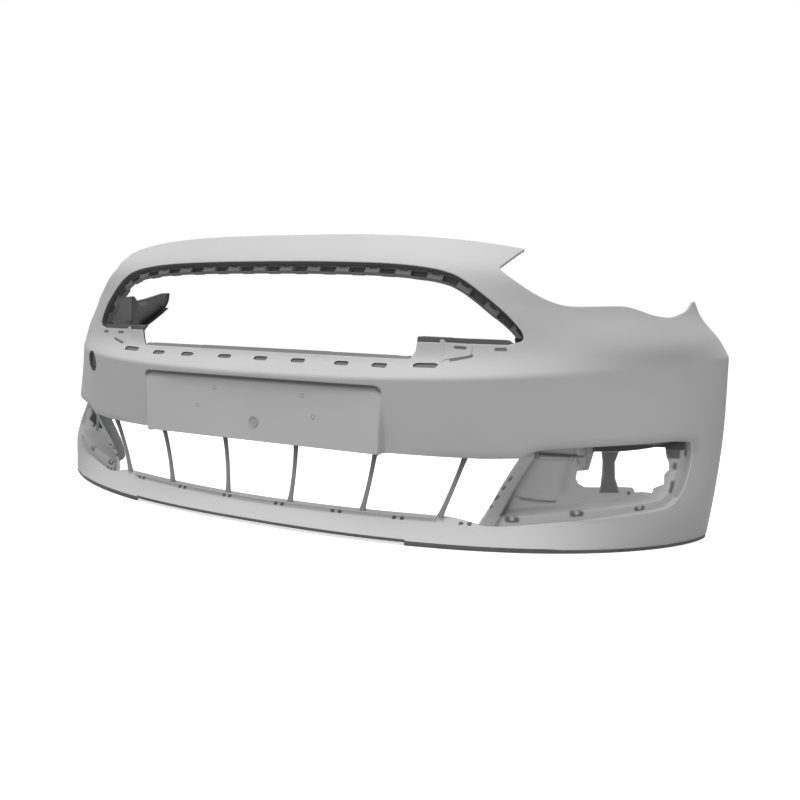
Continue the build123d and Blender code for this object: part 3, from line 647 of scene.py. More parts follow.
# %% The cover's own finishes
PRIMER = primer("grey_primer", (0.435, 0.435, 0.439), (0.40, 0.40, 0.404), 0.62)
POCKET_PRIMER = primer("pocket_primer", (0.44, 0.44, 0.444), (0.37, 0.37, 0.374), 0.64)
# Darker primer: thin overspray on the pockets' backs, and painted shade on returns and the plug.
THIN_COAT_AND_SHADE = primer("thin_primer_and_shade", (0.33, 0.33, 0.335), (0.27, 0.27, 0.275), 0.66)
# A dark primer: painted shadow on the sill's step, also used on the carriers and the beam's flange.
SHADOW = primer("rim_primer", (0.20, 0.20, 0.203), (0.14, 0.14, 0.143), 0.66)
# A dark primer: painted shade on the grille's sunk ledge.
SHADED_LEDGE = primer("clip_ledge_shaded_primer", (0.145, 0.145, 0.147), (0.10, 0.10, 0.102), 0.66)
DARK = primer("shaded_edge", (0.085, 0.085, 0.087), (0.055, 0.055, 0.056), 0.7)
# A dark primer: painted shade of the slots, on their seats and marks.
SLOT_SHADE = primer("slot_shade_primer", (0.15, 0.15, 0.152), (0.10, 0.10, 0.102), 0.7)
RAW = plastic("raw_moulding", (0.075, 0.075, 0.078), (0.050, 0.050, 0.052), 0.62)
BRACKET = plastic("bracket_plastic", (0.185, 0.185, 0.188), (0.14, 0.14, 0.142), 0.62)
RUBBER = plastic("strip_rubber", (0.095, 0.095, 0.098), (0.065, 0.065, 0.067), 0.80, 2200.0, 0.15)
BAR = bar_plastic("bar_primer", (0.20, 0.20, 0.203), (0.045, 0.045, 0.046))
print("finishes", finishes)

# %% [markdown]
# ## The skin
#
# The skin is what one sees: nose, beam, plate panel, lip and wings in one moulding, cut by the openings,
# by nine slots in the sill and by the tow-eye hole. Joining separate panels would leave seams, so it is
# one sheet. Its field is the least of the distances to the openings, so $f > 0$ is material. Inside the
# plate field the skin is moved to the upright panel: $y \leftarrow (1 - s)\,y + s\,y_{plate}$ with $s$
# rising over the width of the panel's edge.

# %% Measures of the skin
STRIP_STEP_X = 345.0
PLATE_Y = -1.0
PLATE_EDGE = 7.0
FEATURES = {"grille": 0, "lamp": 1, "intake": 2, "arch": 3, "foot": 4, "bonnet": 5, "slot": 6}
LIP_FOOT_LEVEL = 0.02
CUTTING = [FEATURES[name] for name in ("grille", "lamp", "intake", "foot", "slot")]
TOW_X, TOW_Z, TOW_RADIUS = -531, 313, 26


def foot_height(x):
    """Height of the lip's lower edge: 10.5 mm over the thin strip, 8 mm over the deep ones."""
    return 8.0 + 2.5 * smoothstep((STRIP_STEP_X - np.abs(x)) / 2 + 0.5)


print("lip edge", foot_height(np.array([0.0, 500.0])), "mm over the floor")


# %% Finer grid lines and rounded slots
def near_lines(base, extra, reach):
    """Base grid lines with finer ones in place of those within reach of a group of extra lines."""
    base = np.asarray(base, float)
    extra = np.asarray(extra, float)
    keep = (np.abs(base[:, None] - extra[None, :]) > reach).all(1)
    return np.unique(np.concatenate([base[keep], extra]))


def slots_distance(q, slots):
    """Signed distance to the nearest of rounded slots (x, z, length, height, tilt)."""
    best = np.full(len(q), np.inf)
    for x, z, length, height, tilt in slots:
        c, s = np.cos(tilt), np.sin(tilt)
        dx, dz = q[:, 0] - x, q[:, 1] - z
        along, over = dx * c + dz * s, dz * c - dx * s
        reach = np.abs(along) - (length - height) / 2
        best = np.minimum(best, np.hypot(np.maximum(reach, 0), over) - height / 2)
    return best


print("distance in the middle of a slot", slots_distance(np.zeros((1, 2)), [(0, 0, 35, 8.5, 0)]), "mm")

# %% Slots and marks
# Each is (x, z, length, height, tilt), seen from the front.
SILL_SLOTS = [(x, 347.5, 35, 8.5, 0) for x in (-281, -197, -94, 0, 94, 197, 281)]
SILL_SLOTS += [(side * 375, 351.5, 50, 9, side * 0.03) for side in (1, -1)]
CORNER_MARKS = [(side * 439, 367.5, 44, 6.5, side * 0.234) for side in (1, -1)]
CORNER_MARKS += [(side * 512, 386, 30, 6.5, side * 0.04) for side in (1, -1)]
CORNER_MARKS += [(side * 435, 386.5, 25, 6.5, side * -0.05) for side in (1, -1)]
LIP_SPOTS = [(-509, 45), (-366, 44.5), (-221, 44), (-86, 44), (51, 44), (185, 44), (317, 44), (449, 44)]
LIP_SLOTS = [(x + side * 8, z, 9, 6, 0) for x, z in LIP_SPOTS for side in (1, -1)]
print(len(SILL_SLOTS), "sill slots,", len(CORNER_MARKS), "corner marks,", len(LIP_SLOTS), "lip slots")


# %% Fields of the skin
def skin_distances(u, level):
    """One signed distance for each kind of edge, all in millimetres, positive on material."""
    p = skin(u, level)
    front = p[:, [0, 2]]
    upper = level > 2.5
    far = np.full(len(u), 1e3)
    grille, lamp, intake, slot, tow = far.copy(), far.copy(), far.copy(), far.copy(), far.copy()
    grille[upper] = outline_distance(front[upper], GRILLE)
    lamp[upper] = outline_distance(from_outboard(p)[upper], LAMP_CUT)
    low = level < 3.0
    q = chart(u, level)
    intake[low] = outline_distance(q[low], chart(INTAKE[:, 0], INTAKE[:, 1]))
    sill = (level > 3.0) & (level < 4.4)
    slot[sill] = slots_distance(front[sill], SILL_SLOTS)
    tow[low | upper] = (np.hypot(p[:, 0] - TOW_X, p[:, 2] - TOW_Z) - TOW_RADIUS)[low | upper]
    slot = np.minimum(slot, tow)
    foot = p[:, 2] - foot_height(p[:, 0])
    # For the sheet's own ends a rough length is enough to tell which edge is nearest.
    arch = (1 - np.abs(u)) * 4e3
    bonnet = (len(RAILS) - 1 - level) * 60
    return np.stack([grille, lamp, intake, arch, foot, bonnet, slot], -1)


def skin_field(u, level):
    """Least of the distances to the edges that are cut: f > 0 is material."""
    return np.min(skin_distances(u, level)[:, CUTTING], -1)


def dressed_skin(u, level):
    """Skin with the plate panel set into it: y (1 - s) + y_plate s, s = s(1/2 - d / edge width)."""
    p = skin(u, level)
    d = outline_distance(p[:, [0, 2]], PLATE)
    share = smoothstep(0.5 - d / PLATE_EDGE) * (level < CREASE)
    p[:, 1] = p[:, 1] * (1 - share) + PLATE_Y * share
    return p


print("plate panel at y", dressed_skin(np.array([0.0]), np.array([2.5]))[0, 1].round(2), "mm")

# %% The skin's grid, trimmed
plate_u = (PLATE_HALF + PLATE_FOOT_HALF) / 2 / RAILS[CREASE, 1]
COLUMN_STEP = 0.52         # degrees of arcsin u, which brings the columns closer on the bent ends
columns = np.arange(-90, 90.01, COLUMN_STEP) * np.pi / 180
side_lines = np.arcsin(np.clip(plate_u + np.linspace(-0.008, 0.010, 11), -1, 1))
columns = near_lines(columns, np.concatenate([side_lines, -side_lines]), np.radians(0.30))
rows = np.concatenate([np.linspace(LIP_FOOT_LEVEL, 1, 12), np.linspace(1, 2, 19)[1:],
                       np.linspace(2, 3, 25)[1:], np.linspace(3, 4, 13)[1:], np.linspace(4, 5, 22)[1:],
                       np.linspace(5, 6, 18)[1:], np.linspace(6, 7, 15)[1:]])
plate_top_rows = np.linspace(2.87, 2.935, 9)
crease_rows = CREASE + np.array([-0.05, -0.03, -0.01, 0.01, 0.04, 0.07, 0.10, 0.13, 0.17])
rows = near_lines(rows, np.concatenate([plate_top_rows, crease_rows]), 0.02)
uv, faces = trim(np.sin(columns), rows, skin_field)
points = dressed_skin(uv[:, 0], uv[:, 1])
normals = vertex_normals(points, faces)
kind = skin_distances(uv[:, 0], uv[:, 1]).argmin(-1)
print("front sheet", len(points), "vertices on", len(columns), "columns and", len(rows), "rows")

# %% [markdown]
# ## The skin's edges
#
# The real edges are rounded by 2 mm and then run straight back, further where the opening needs
# stiffness. Along the sill the edge goes back only a little, climbs a 9 mm step and goes back again.
# Bevel would round them all alike, so each edge vertex gets its own profile, row by row (out, in).
# Rows that lie deep in a gap, on the sill's step and on the corner blocks take darker finishes: painted
# shade.

# %% Profiles of the edges
ROUND = [(0.8, 0.25), (1.5, 0.9), (1.9, 1.9), (2.0, 3.2)]
RETURNS = {"grille": 14.5, "lamp": 5.0, "intake": 13.0, "arch": 6.0, "foot": 3.5, "bonnet": 8.0,
           "slot": 10.0}


def step_height(x, z):
    """Height of the step that stands behind the sill: 9 mm, and 10 mm on the corner blocks."""
    block = smoothstep((np.abs(x) - 338) / 10)
    low = smoothstep((404 - z) / 6) * smoothstep((534 - np.abs(x)) / 12)
    return (9.0 + 1.0 * block) * low * ~block_side(x, z)


def block_side(x, z):
    """Whether a place on the edge lies on the upright inner side of a corner block."""
    return (np.abs(x) < 353) & (z > 362.5) & (z < 393) & (np.abs(x) > 339)


def skin_profile(ids):
    """Rounded edge and straight return, or the sill's edge: back 3 mm, up the step and back."""
    depth = np.array([RETURNS[name] for name in FEATURES])[kind[ids]]
    soft = np.where(kind[ids] == FEATURES["slot"], 0.35, 1.0)
    steps = np.array(ROUND)[None] * soft[:, None, None]
    last = np.stack([2.0 * soft, depth], -1)[:, None]
    middle = np.stack([2.0 * soft, (depth + 3.2 * soft) / 2], -1)[:, None]
    plain = np.concatenate([steps, middle, last], 1)
    at = points[ids]
    plain[:, 3:, 1] = np.where(block_side(at[:, 0], at[:, 2])[:, None], 4.5, plain[:, 3:, 1])
    height = np.where(kind[ids] == FEATURES["grille"], step_height(at[:, 0], at[:, 2]), 0.0)
    one = np.ones_like(height)
    rise = np.stack([np.stack(pair, -1) for pair in (
        (0.6 * one, 0.5 * one), (0.8 * one, 2.6 * one), (0.9 * one, 3.6 * one),
        (height, 4.2 * one), (height + 0.8, 5.0 * one), (height + 1.0, 17.0 * one))], 1)
    share = np.clip(height / 2.5, 0, 1)[:, None, None]
    return plain * (1 - share) + rise * share


print("returns", RETURNS)

# %% Extruding the edges
SKIN_FINISHES = [PRIMER, RAW, THIN_COAT_AND_SHADE, DARK, SHADOW]
FRONT, BACK, RETURN_SHADE, GAP, STEP = range(5)
BLOCK_FROM_X = 346
points_before = points
points, rings, first = add_rim(points, normals, faces, skin_profile)
at = points_before[first]
on_step = (kind[first] == FEATURES["grille"]) & (step_height(at[:, 0], at[:, 2]) > 1.2)
dark_edge = ((kind[first] == FEATURES["grille"]) & ~on_step) | (kind[first] == FEATURES["slot"])
# Painted shade: the returns along the upper part of the lower opening take the darker primer.
far_back = np.where((kind[first] == FEATURES["intake"]) & (uv[first, 1] > 1.3), RETURN_SHADE, FRONT)
on_block = on_step & (np.abs(at[:, 0]) > BLOCK_FROM_X)
# Painted shade: grille and slot returns and the block tops take the darkest finish, the sill's step the
# shadow primer.
finish_of = np.where(dark_edge | on_block, GAP, np.where(on_step, STEP, far_back))
groups = []
for number, ring in enumerate(rings):
    for finish in (FRONT, RETURN_SHADE, GAP, STEP):
        groups.append((ring[finish_of == finish], finish if number >= 2 else FRONT))
sheets = [group for group in [(part, FRONT) for part in faces] + groups if len(group[0])]
print(len(rings), "rings of faces round", len(first), "edges")

# %% [markdown]
# ## Thin and thick coats
# ## Painted shade and painted light
# Painted shade lies along the upper edge of the plate panel, under the crease, and on the beam's lower
# edge over the pockets, and painted light on the lip, which faces up. Vertex paint could draw that by eye.
# The shares are products of smooth steps, $s(d / r)$, of distances that the outlines already give.

# %% Shares of painted shade and of painted light
plate_gap = outline_distance(points_before[:, [0, 2]], PLATE)
# Painted shade: a band under the crease along the plate panel's top edge.
bare = (0.85 * smoothstep((plate_gap + 13) / 10) * smoothstep((2.5 - plate_gap) / 2)
        * smoothstep((points_before[:, 2] - 292) / 6) * (uv[:, 1] < CREASE))
opening_gap = skin_distances(uv[:, 0], uv[:, 1])[:, FEATURES["intake"]]
# Painted shade on the beam's rounded lower edge over the pockets.
bare = np.maximum(bare, 0.20 * smoothstep(1 - opening_gap / 16) * smoothstep((uv[:, 1] - 1.95) / 0.06)
                  * smoothstep((np.abs(points_before[:, 0]) - 300) / 150))
# Painted light on the upward-facing lip, fading out towards the wheel arches.
thick = smoothstep((1.0 - uv[:, 1]) / 0.04) * smoothstep((760 - np.abs(points_before[:, 0])) / 230)
print("bare up to", bare.max().round(2), "and thick up to", thick.max().round(2))

# %% The cover's mesh
SKIN_WALL = 2.4
points, outer, inner = with_wall(points, [part for part, _ in sheets], SKIN_WALL)
groups = [([part], slot) for part, (_, slot) in zip(outer, sheets)]
groups += [(outer[len(sheets):], BACK), (inner, BACK)]
cover = make_mesh("cover_skin", points, groups, SKIN_FINISHES, {"bare": bare, "thick": thick})
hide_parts("nose_strip", "beam_panel", "plate_panel", "lower_lip", "wing_left", "wing_right")
cover.data.calc_loop_triangles()
print("cover_skin", len(points), "vertices,", len(cover.data.loop_triangles), "triangles")

# %% [markdown]
# ## Finding a place on the skin
#
# Pads and pockets lie at a depth behind the skin. The grille's ledge follows an outline that is drawn
# from the front, but it is built from $(u, level)$. Shrinkwrap would find the places too, but only as
# finished vertices. Newton's method is chosen because it gives $(u, level)$: the step is
# $J^{-1}(q - v(p))$, where $v$ is the front view and $J$ holds its change with $u$ and with level.

# %% Places behind the skin and in the front view
def behind(u, level, depth):
    """Place at a depth behind the skin: p - depth n."""
    return skin(u, level) - outward(u, level) * np.asarray(depth, float)[..., None]


def front_view(p):
    """Place seen from the front: (x, z)."""
    return p[..., [0, 2]]


print("3 mm behind the beam", behind(0.0, 2.5, 3.0).round(1).tolist())


# %% Newton's method on the surface
def find(target, u, level, steps=30, h=1e-3):
    """(u, level) whose front view is the target: each step adds 0.8 J^-1 e, held to 0.08 and 0.3."""
    for _ in range(steps):
        at = front_view(skin(u, level))
        a = (front_view(skin(u + h, level)) - at) / h
        b = (front_view(skin(u, level + h)) - at) / h
        e = target - at
        det = a[:, 0] * b[:, 1] - a[:, 1] * b[:, 0]
        det = np.where(np.abs(det) < TINY, TINY, det)
        du = np.clip((e[:, 0] * b[:, 1] - e[:, 1] * b[:, 0]) / det, -0.08, 0.08)
        dl = np.clip((a[:, 0] * e[:, 1] - a[:, 1] * e[:, 0]) / det, -0.3, 0.3)
        u = np.clip(u + 0.8 * du, -0.998, 0.998)
        level = np.clip(level + 0.8 * dl, 0.01, 6.99)
    return u, level


nose_middle = find(np.array([[0.0, 580.0]]), np.array([0.0]), np.array([6.5]))
print("the middle of the nose lies at", np.round(nose_middle, 3).ravel().tolist())


# %% Distance to an open line
def line_distance(q, line):
    """Least distance of points q to an open line: |q - (a + t (b - a))| with t held to 0 and 1."""
    a, b = np.asarray(line, float)[:-1], np.asarray(line, float)[1:]
    ab = (b - a)[None]
    t = np.clip(((q[:, None] - a) * ab).sum(-1) / np.maximum((ab ** 2).sum(-1), 1e-12), 0, 1)
    return np.linalg.norm(q[:, None] - a - ab * t[..., None], axis=-1).min(1)


print("distance to a line", line_distance(np.array([[3.0, 4.0]]), [(0, 0), (3, 0)]))

# %% [markdown]
# ## Seats and marks
#
# Clips snap through small slots to hold the grille and the strips. In the sill the slots are cut through
# and end on moulded seats close behind the skin; in the lip and in the corners they are blind. All could
# be cut as holes, but a blind slot a few millimetres wide only shows as a dark mark. So the seats are
# thin pads behind the skin, and each mark is a dark pad that stands 0.3 mm proud of it; both are dark
# with painted shade of the slots.

# %% Seats behind the sill and shaded slot marks in the lip and corners
def pads(name, columns, rows, slots, margin, depth):
    """Thin pads over the slots, dark with painted shade: field f = margin - d(slots), placed at p - depth n.
    """
    def field(u, level):
        """Margin less the distance to the nearest slot, positive on the pad."""
        return margin - slots_distance(front_view(skin(u, level)), slots)

    uv, faces = trim(columns, rows, field)
    points = behind(uv[:, 0], uv[:, 1], np.full(len(uv), depth))
    points, outer, inner = with_wall(points, faces, PAD_WALL)
    make_mesh(name, points, [(outer + inner, 0)], [SLOT_SHADE])
    print(name, len(points), "vertices")


PAD_WALL = 1.2
SEAT_MARGIN, SEAT_DEPTH = 4.0, 3.2
PROUD = -0.3
pads("sill_clip_seats", np.linspace(-0.47, 0.47, 301), np.linspace(3.7, 4.3, 31), SILL_SLOTS,
     SEAT_MARGIN, SEAT_DEPTH)
pads("corner_slot_shade_marks", np.linspace(-0.61, 0.61, 601), np.linspace(3.8, 4.6, 61), CORNER_MARKS,
     0.0, PROUD)
pads("lip_slot_shade_marks", np.linspace(-0.62, 0.62, 701), np.linspace(0.6, 1.1, 41), LIP_SLOTS, 0.0, PROUD)

# %% [markdown]
# ## The grille rim
#
# Behind the edge of the upper opening the real cover has a sunk ledge, 15.5 mm deep and 20 mm wide,
# with a row of raised tabs and blind slots that the grille's clips hold on to. Tabs could be modelled
# one by one and arrayed along a curve, but they would bend badly in the tips. One strip is chosen whose
# depth is a function: its grid runs along the opening's arch, $s$, and inwards across the ledge, $v$:
# place $= p(s) + v\,d(s) - h(s, v)\,n(s)$.

# %% The path along the opening
half_path = np.concatenate([GRILLE_ARCH, GRILLE_TURN[1:]])
arch = np.concatenate([(half_path * (-1, 1))[::-1][:-1], half_path])
walk = np.concatenate([[0], np.cumsum(np.linalg.norm(np.diff(arch, axis=0), axis=1))])
length = walk[-1]
stations = np.linspace(0, length, 521)
arch = np.stack([np.interp(stations, walk, arch[:, k]) for k in range(2)], -1)
first_level = np.interp(arch[:, 1], [351, 468, 553], [4, 5, 6])
arch_u, arch_level = find(arch, arch[:, 0] / 840, first_level)
arch_place = skin(arch_u, arch_level)
arch_out = outward(arch_u, arch_level)
arch_way = unit(np.gradient(arch_place, axis=0))
arch_in = unit(np.cross(arch_way, arch_out))
arch_in *= -np.sign(arch_in[len(arch_in) // 2, 2])
print("path along the opening", round(length), "mm")

# %% Tabs, slots and hooks on the ledge
RIM_DEPTH, RIM_WIDTH = 15.5, 20.0
TAB_PERIOD = length / 18
TAB_HALF, TAB_RISE = 19, 3.0
SLOT_HALF, SLOT_SINK = 17.0, 9.0
HOOK_HALF = 7.0
ROLL_DEPTH = 5.0


def rim_width(s):
    """Width of the ledge: 20 mm, falling to 13 mm over the last 120 mm at each end."""
    return RIM_WIDTH - 7.0 * smoothstep(1 - np.minimum(s, length - s) / 120)


def slot_edge(s, v):
    """Signed distance to the blind slots between the tabs and the small hooks on them."""
    phase = np.abs((s / TAB_PERIOD) % 1 - 0.5) * TAB_PERIOD
    across = v * RIM_WIDTH / rim_width(s)
    slot = np.maximum(TAB_PERIOD / 2 - phase - SLOT_HALF, np.abs(across - 9.5) - 6.5)
    hook = np.maximum(phase - HOOK_HALF, np.abs(across - 6.0) - 1.3)
    return np.minimum(slot, hook)


def rim_depth(s, v_at):
    """Ledge depth: 15.5 mm, 3 mm less on the tabs, and rolled back by 5 mm at the inner edge."""
    phase = np.abs((s / TAB_PERIOD) % 1 - 0.5) * TAB_PERIOD
    v = v_at * RIM_WIDTH / rim_width(s)
    tab = smoothstep((TAB_HALF - phase) / 2 + 0.5) * smoothstep((v - 2.5) / 2) * smoothstep((18.5 - v) / 2)
    roll = smoothstep((v - 17) / 4)
    slot = smoothstep(0.5 - slot_edge(s, v_at) / 1.2)
    return RIM_DEPTH - TAB_RISE * tab + ROLL_DEPTH * roll + SLOT_SINK * slot


def rim_place(s, v):
    """Place on the ledge: p(s) + v d(s) - h(s, v) n(s), all three read off the path."""
    place, inwards, out = (np.stack([np.interp(s, stations, array[:, j]) for j in range(3)], -1)
                           for array in (arch_place, arch_in, arch_out))
    return place + unit(inwards) * v[:, None] - unit(out) * rim_depth(s, v)[:, None]


def rim_field(s, v):
    """Inside the ledge's width."""
    return rim_width(s) - v


print("tabs", round(length / TAB_PERIOD), "at", TAB_PERIOD.round(1), "mm")

# %% The rim's mesh
uv, faces = trim(stations[1:-1], np.linspace(-1.0, RIM_WIDTH + 1, 31), rim_field)
points = rim_place(uv[:, 0], uv[:, 1])
faces = facing((0, -1, 0), points, faces)[0]
# Painted shade of the deep ledge: the tabs take a dark primer, the sunk slots a darker one.
sunk = [slot_edge(uv[part, 0], uv[part, 1]).mean(1) < 0.6 for part in faces]
light_faces = [part[~mask] for part, mask in zip(faces, sunk)]
dark_faces = [part[mask] for part, mask in zip(faces, sunk)]
INNER_WALL = 2.2
points, outer, inner = with_wall(points, light_faces + dark_faces, INNER_WALL)
groups = [(outer[:len(faces)], 0), (outer[len(faces):], 1), (inner, 2)]
rim = make_mesh("grille_clip_rim", points, groups, [SHADED_LEDGE, DARK, RAW])
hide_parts("grille_rim")
print("grille rim", len(points), "vertices")

# %% [markdown]
# ## The fog-lamp pockets
#
# At each end of the lower opening the moulding sinks into a pocket, with a hole for the fog lamp, a vent
# beside it and small clips round them. Sculpting would give soft steps that can't be measured. So each
# pocket is the same surface pushed back by a depth field: a long slope on its inner side, a narrow seat
# along its outer and lower edge, a floor 42 mm down, a rib, a tab and the holes.

# %% Outlines of the pocket
POCKET_SIDE = [(0.543, 0.76), (0.556, 1.10), (0.584, 1.50), (0.627, 2.02)]
POCKET_DEPTH = 42.0
LAMP_HOLE = [(667, 187), (717, 189), (774, 193), (773, 175), (775, 163), (773, 149), (764, 140), (758, 122),
             (749, 116), (742, 111), (736, 104), (704, 103), (699, 113), (667, 115), (660, 134), (658, 165)]
VENT_HOLE = [(613, 188), (631, 188), (634, 166), (634, 144), (633, 114), (601, 114), (587, 122), (581, 134),
             (582, 149), (604, 151), (610, 178)]
POST = [(631, 186), (667, 186), (657, 165), (659, 135), (667, 113), (670, 104), (630, 104), (635, 144)]
CORNER_BLOCK = [(762, 210), (802, 208), (797, 171), (775, 171)]
BAND_CLIPS = [(444, 137, 12, 5, 1.0), (436, 118, 9, 6, 1.0), (427, 97, 13, 5, 1.0), (418, 78, 8, 5, 1.0)]
OUTER_CLIPS = [(817, 190, 34, 8, 1.4), (690, 103, 8, 7, 0), (783, 157, 15, 9, 1.2), (769, 118, 26, 8, 1.15)]
FOOT_CLIPS = [(458, 53, 26, 11, 0.05), (573, 69, 26, 11, 0.1), (694, 80, 22, 9, 0.12)]
FOOT_DOTS = [(x, z + 2, 7, 7, 0) for x, z, *_ in FOOT_CLIPS] + [(566, 176, 7, 7, 0)]
side_line = chart(*np.array(POCKET_SIDE).T)
end = np.array(INTAKE_END)
top_line = chart(*end[:6].T)
outer_line = chart(*end[5:9].T)
foot_line = chart(*np.array(INTAKE_END[8:] + [POCKET_SIDE[0]]).T)
POCKET = np.concatenate([side_line, chart(*curve(end[1:6], 5).T), chart(*curve(end[5:9], 5).T),
                         chart(*curve(end[8:], 5).T)])
print("pocket", np.ptp(POCKET, 0).round(), "mm on the chart")


# %% Depth and holes of the pocket
def pocket_depth(u, level):
    """Least of the four sides' ramps: each a seat, then down to the floor, d0 + (42 - d0) s(gap)."""
    q = chart(u, level)
    gap = line_distance(q, side_line)
    depth = 3.0 + 11.0 * np.clip(gap / 22, 0, 1) + (POCKET_DEPTH - 14.0) * smoothstep((gap - 23) / 10)
    for line, seat, width, run in ((top_line, 13, 1, 6), (outer_line, 13, 13, 22), (foot_line, 13, 15, 12)):
        ramp = seat + (POCKET_DEPTH - seat) * smoothstep((line_distance(q, line) - width) / run)
        depth = np.minimum(depth, ramp)
    view = from_outboard(behind(u, level, depth))
    rib = np.exp(-(line_distance(view, [(480, 95), (545, 88)]) / 3.0) ** 2)
    step = np.exp(-(line_distance(view, [(508, 178), (566, 177)]) / 5.0) ** 2)
    tab = smoothstep(0.5 - outline_distance(view, [(570, 200), (590, 200), (598, 160), (584, 158)]) / 3)
    return depth - 5.0 * rib - 9.0 * step - 10.0 * tab


def pocket_field(u, level):
    """Least of the distance inwards from the pocket's outline, 2 mm wider, and those to its holes."""
    inside = 2.0 - outline_distance(chart(u, level), POCKET)
    view = from_outboard(behind(u, level, pocket_depth(u, level)))
    holes = np.minimum.reduce([outline_distance(view, hole) for hole in (LAMP_HOLE, VENT_HOLE)])
    return np.minimum(inside, holes)


print("pocket floor", pocket_depth(np.array([0.80]), np.array([1.6])).round(1), "mm deep")

# %% [markdown]
# ## Shaded places in the pocket
#
# Painted shade darkens the post between the holes, the strip under the beam, the corners, the clips
# and the lines by the rib and the step. Painting that with Texture Paint would need a UV map. An
# attribute worked out from distances needs none, and it moves with the outlines.

# %% Shares of painted shade in the pocket
def pocket_painted_shade(view, gap):
    """Largest of the shares m(d) = s(1/2 - d / r) of the shaded places, less the bright dots."""
    def share(distance, reach):
        """Smooth step s(1/2 - distance / reach): 1 inside, 0 outside."""
        return smoothstep(0.5 - distance / reach)

    behind_beam = smoothstep((view[:, 1] - 185) / 4) * smoothstep((view[:, 0] - 603) / 10)
    behind_beam *= smoothstep((828 - view[:, 0]) / 20 + smoothstep((view[:, 1] - 197) / 6))
    # In turn: the post, the strip under the beam, the corner block, the foot of the inner slope, three
    # rows of clips, the lines by the rib, the step and the vent, the field round the vent, the top.
    shares = [
        0.75 * share(outline_distance(view, POST), 4),
        0.95 * behind_beam,
        0.80 * share(outline_distance(view, CORNER_BLOCK), 4),
        0.55 * np.exp(-((gap - 27) / 5) ** 2),
        0.80 * share(slots_distance(view, BAND_CLIPS), 3),
        0.75 * share(slots_distance(view, OUTER_CLIPS), 3),
        0.80 * share(slots_distance(view, FOOT_CLIPS), 4),
        0.60 * np.exp(-(line_distance(view, [(486, 88), (515, 84), (547, 85)]) / 2.5) ** 2),
        0.80 * np.exp(-(line_distance(view, [(506, 184), (560, 181), (585, 180)]) / 3.5) ** 2),
        0.16 * np.exp(-(line_distance(view, [(566, 176), (560, 110)]) / 9) ** 2),
        0.25 * share(outline_distance(view, [(577, 202), (614, 202), (609, 151), (592, 151), (577, 168)]), 4),
        0.55 * smoothstep((view[:, 1] - 196) / 3) * smoothstep((view[:, 0] - 500) / 15),
    ]
    return np.max(shares, 0) * (1 - share(slots_distance(view, FOOT_DOTS), 4))


print("bare share on the post", pocket_painted_shade(np.array([[650.0, 150.0]]), np.array([60.0])).round(2))

# %% The pockets' meshes
uv, faces = trim(np.linspace(0.535, 0.955, 181), np.linspace(0.70, 2.19, 121), pocket_field)
depth = pocket_depth(uv[:, 0], uv[:, 1])
points = behind(uv[:, 0], uv[:, 1], depth)
faces, normals = facing((1, -1, 0), points, faces)
# Painted shade in the pocket, copied onto the rings of its rounded edge.
bare = pocket_painted_shade(from_outboard(points), line_distance(chart(uv[:, 0], uv[:, 1]), side_line))
edge_ids = np.unique(open_edges(faces))
bare = np.concatenate([bare] + [bare[edge_ids]] * 3)
TRAY_EDGE = np.array([(0.5, 0.3), (0.8, 1.2), (0.8, 3.5)])
points, rings, _ = add_rim(points, normals, faces, lambda ids: np.tile(TRAY_EDGE, (len(ids), 1, 1)))
points, outer, inner = with_wall(points, faces + rings, INNER_WALL)
# The tray's back has the thin coat of overspray.
trays = make_pair("fog_pocket_tray", points, [(outer, 0), (inner, 1)], [POCKET_PRIMER, THIN_COAT_AND_SHADE],
                  {"bare": bare})
for word, tray in trays.items():
    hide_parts(f"fog_pocket_{word}")
print("fog pocket", len(points), "vertices")

# %% [markdown]
# ## The fog-lamp carriers
#
# The fog lamp is screwed to a carrier behind the pocket. From the front nothing of it shows, so only its
# plain ring is made, from the same depth field as the pocket: a band from 3 to 11 mm outside the lamp's
# opening, laid 3.4 mm behind it. A torus would be quicker, but the opening isn't round.

# %% The carriers
def carrier_field(u, level):
    """Least of d - 3 and 11 - d for the distance d to the lamp's opening, and inside the pocket."""
    view = from_outboard(behind(u, level, pocket_depth(u, level)))
    around = outline_distance(view, LAMP_HOLE)
    inside = -6.0 - outline_distance(chart(u, level), POCKET)
    return np.minimum(np.minimum(around - 3.0, 11.0 - around), inside)


uv, faces = trim(np.linspace(0.70, 0.93, 101), np.linspace(1.2, 2.15, 81), carrier_field)
CARRIER_GAP, CARRIER_WALL = 3.4, 3.0
points = behind(uv[:, 0], uv[:, 1], pocket_depth(uv[:, 0], uv[:, 1]) + CARRIER_GAP)
faces = facing((1, -1, 0), points, faces)[0]
points, outer, inner = with_wall(points, faces, CARRIER_WALL)
carriers = make_pair("fog_lamp_carrier", points, [(outer + inner, 0)], [SHADOW])
for word, carrier in carriers.items():
    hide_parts(f"fog_lamp_bracket_{word}")
print("carrier ring", len(points), "vertices")

# %% [markdown]
# ## Tie bars
#
# Six thin moulded bars cross the lower opening and keep its two edges apart. A curve with a bevel would
# give round bars of one thickness. The real ones are nearly flat and widen into their roots, so each is a
# rounded section carried up a bowed path, $c(t) = (1-t)\,a + t\,b + 4t(1-t)\,e$.

# %% Rings of points into faces
def ring_faces(rings, sides):
    """Quads between neighbouring rings of a swept section, and the caps on its first and last ring."""
    grid = np.arange(rings * sides).reshape(rings, sides)
    ahead = np.roll(grid, -1, 1)
    quads = np.stack([grid[:-1], ahead[:-1], ahead[1:], grid[1:]], -1).reshape(-1, 4)
    return [quads, grid[:1, ::-1], grid[-1:]]


print("a box has", sum(len(part) for part in ring_faces(2, 4)), "faces")

# %% The tie bars
TIE_TOP_XS = [92, 273, 451]
TIE_FOOT_XS = [[78, 242, 400], [-83, -254, -413]]
TIE_SETBACK = 8.0


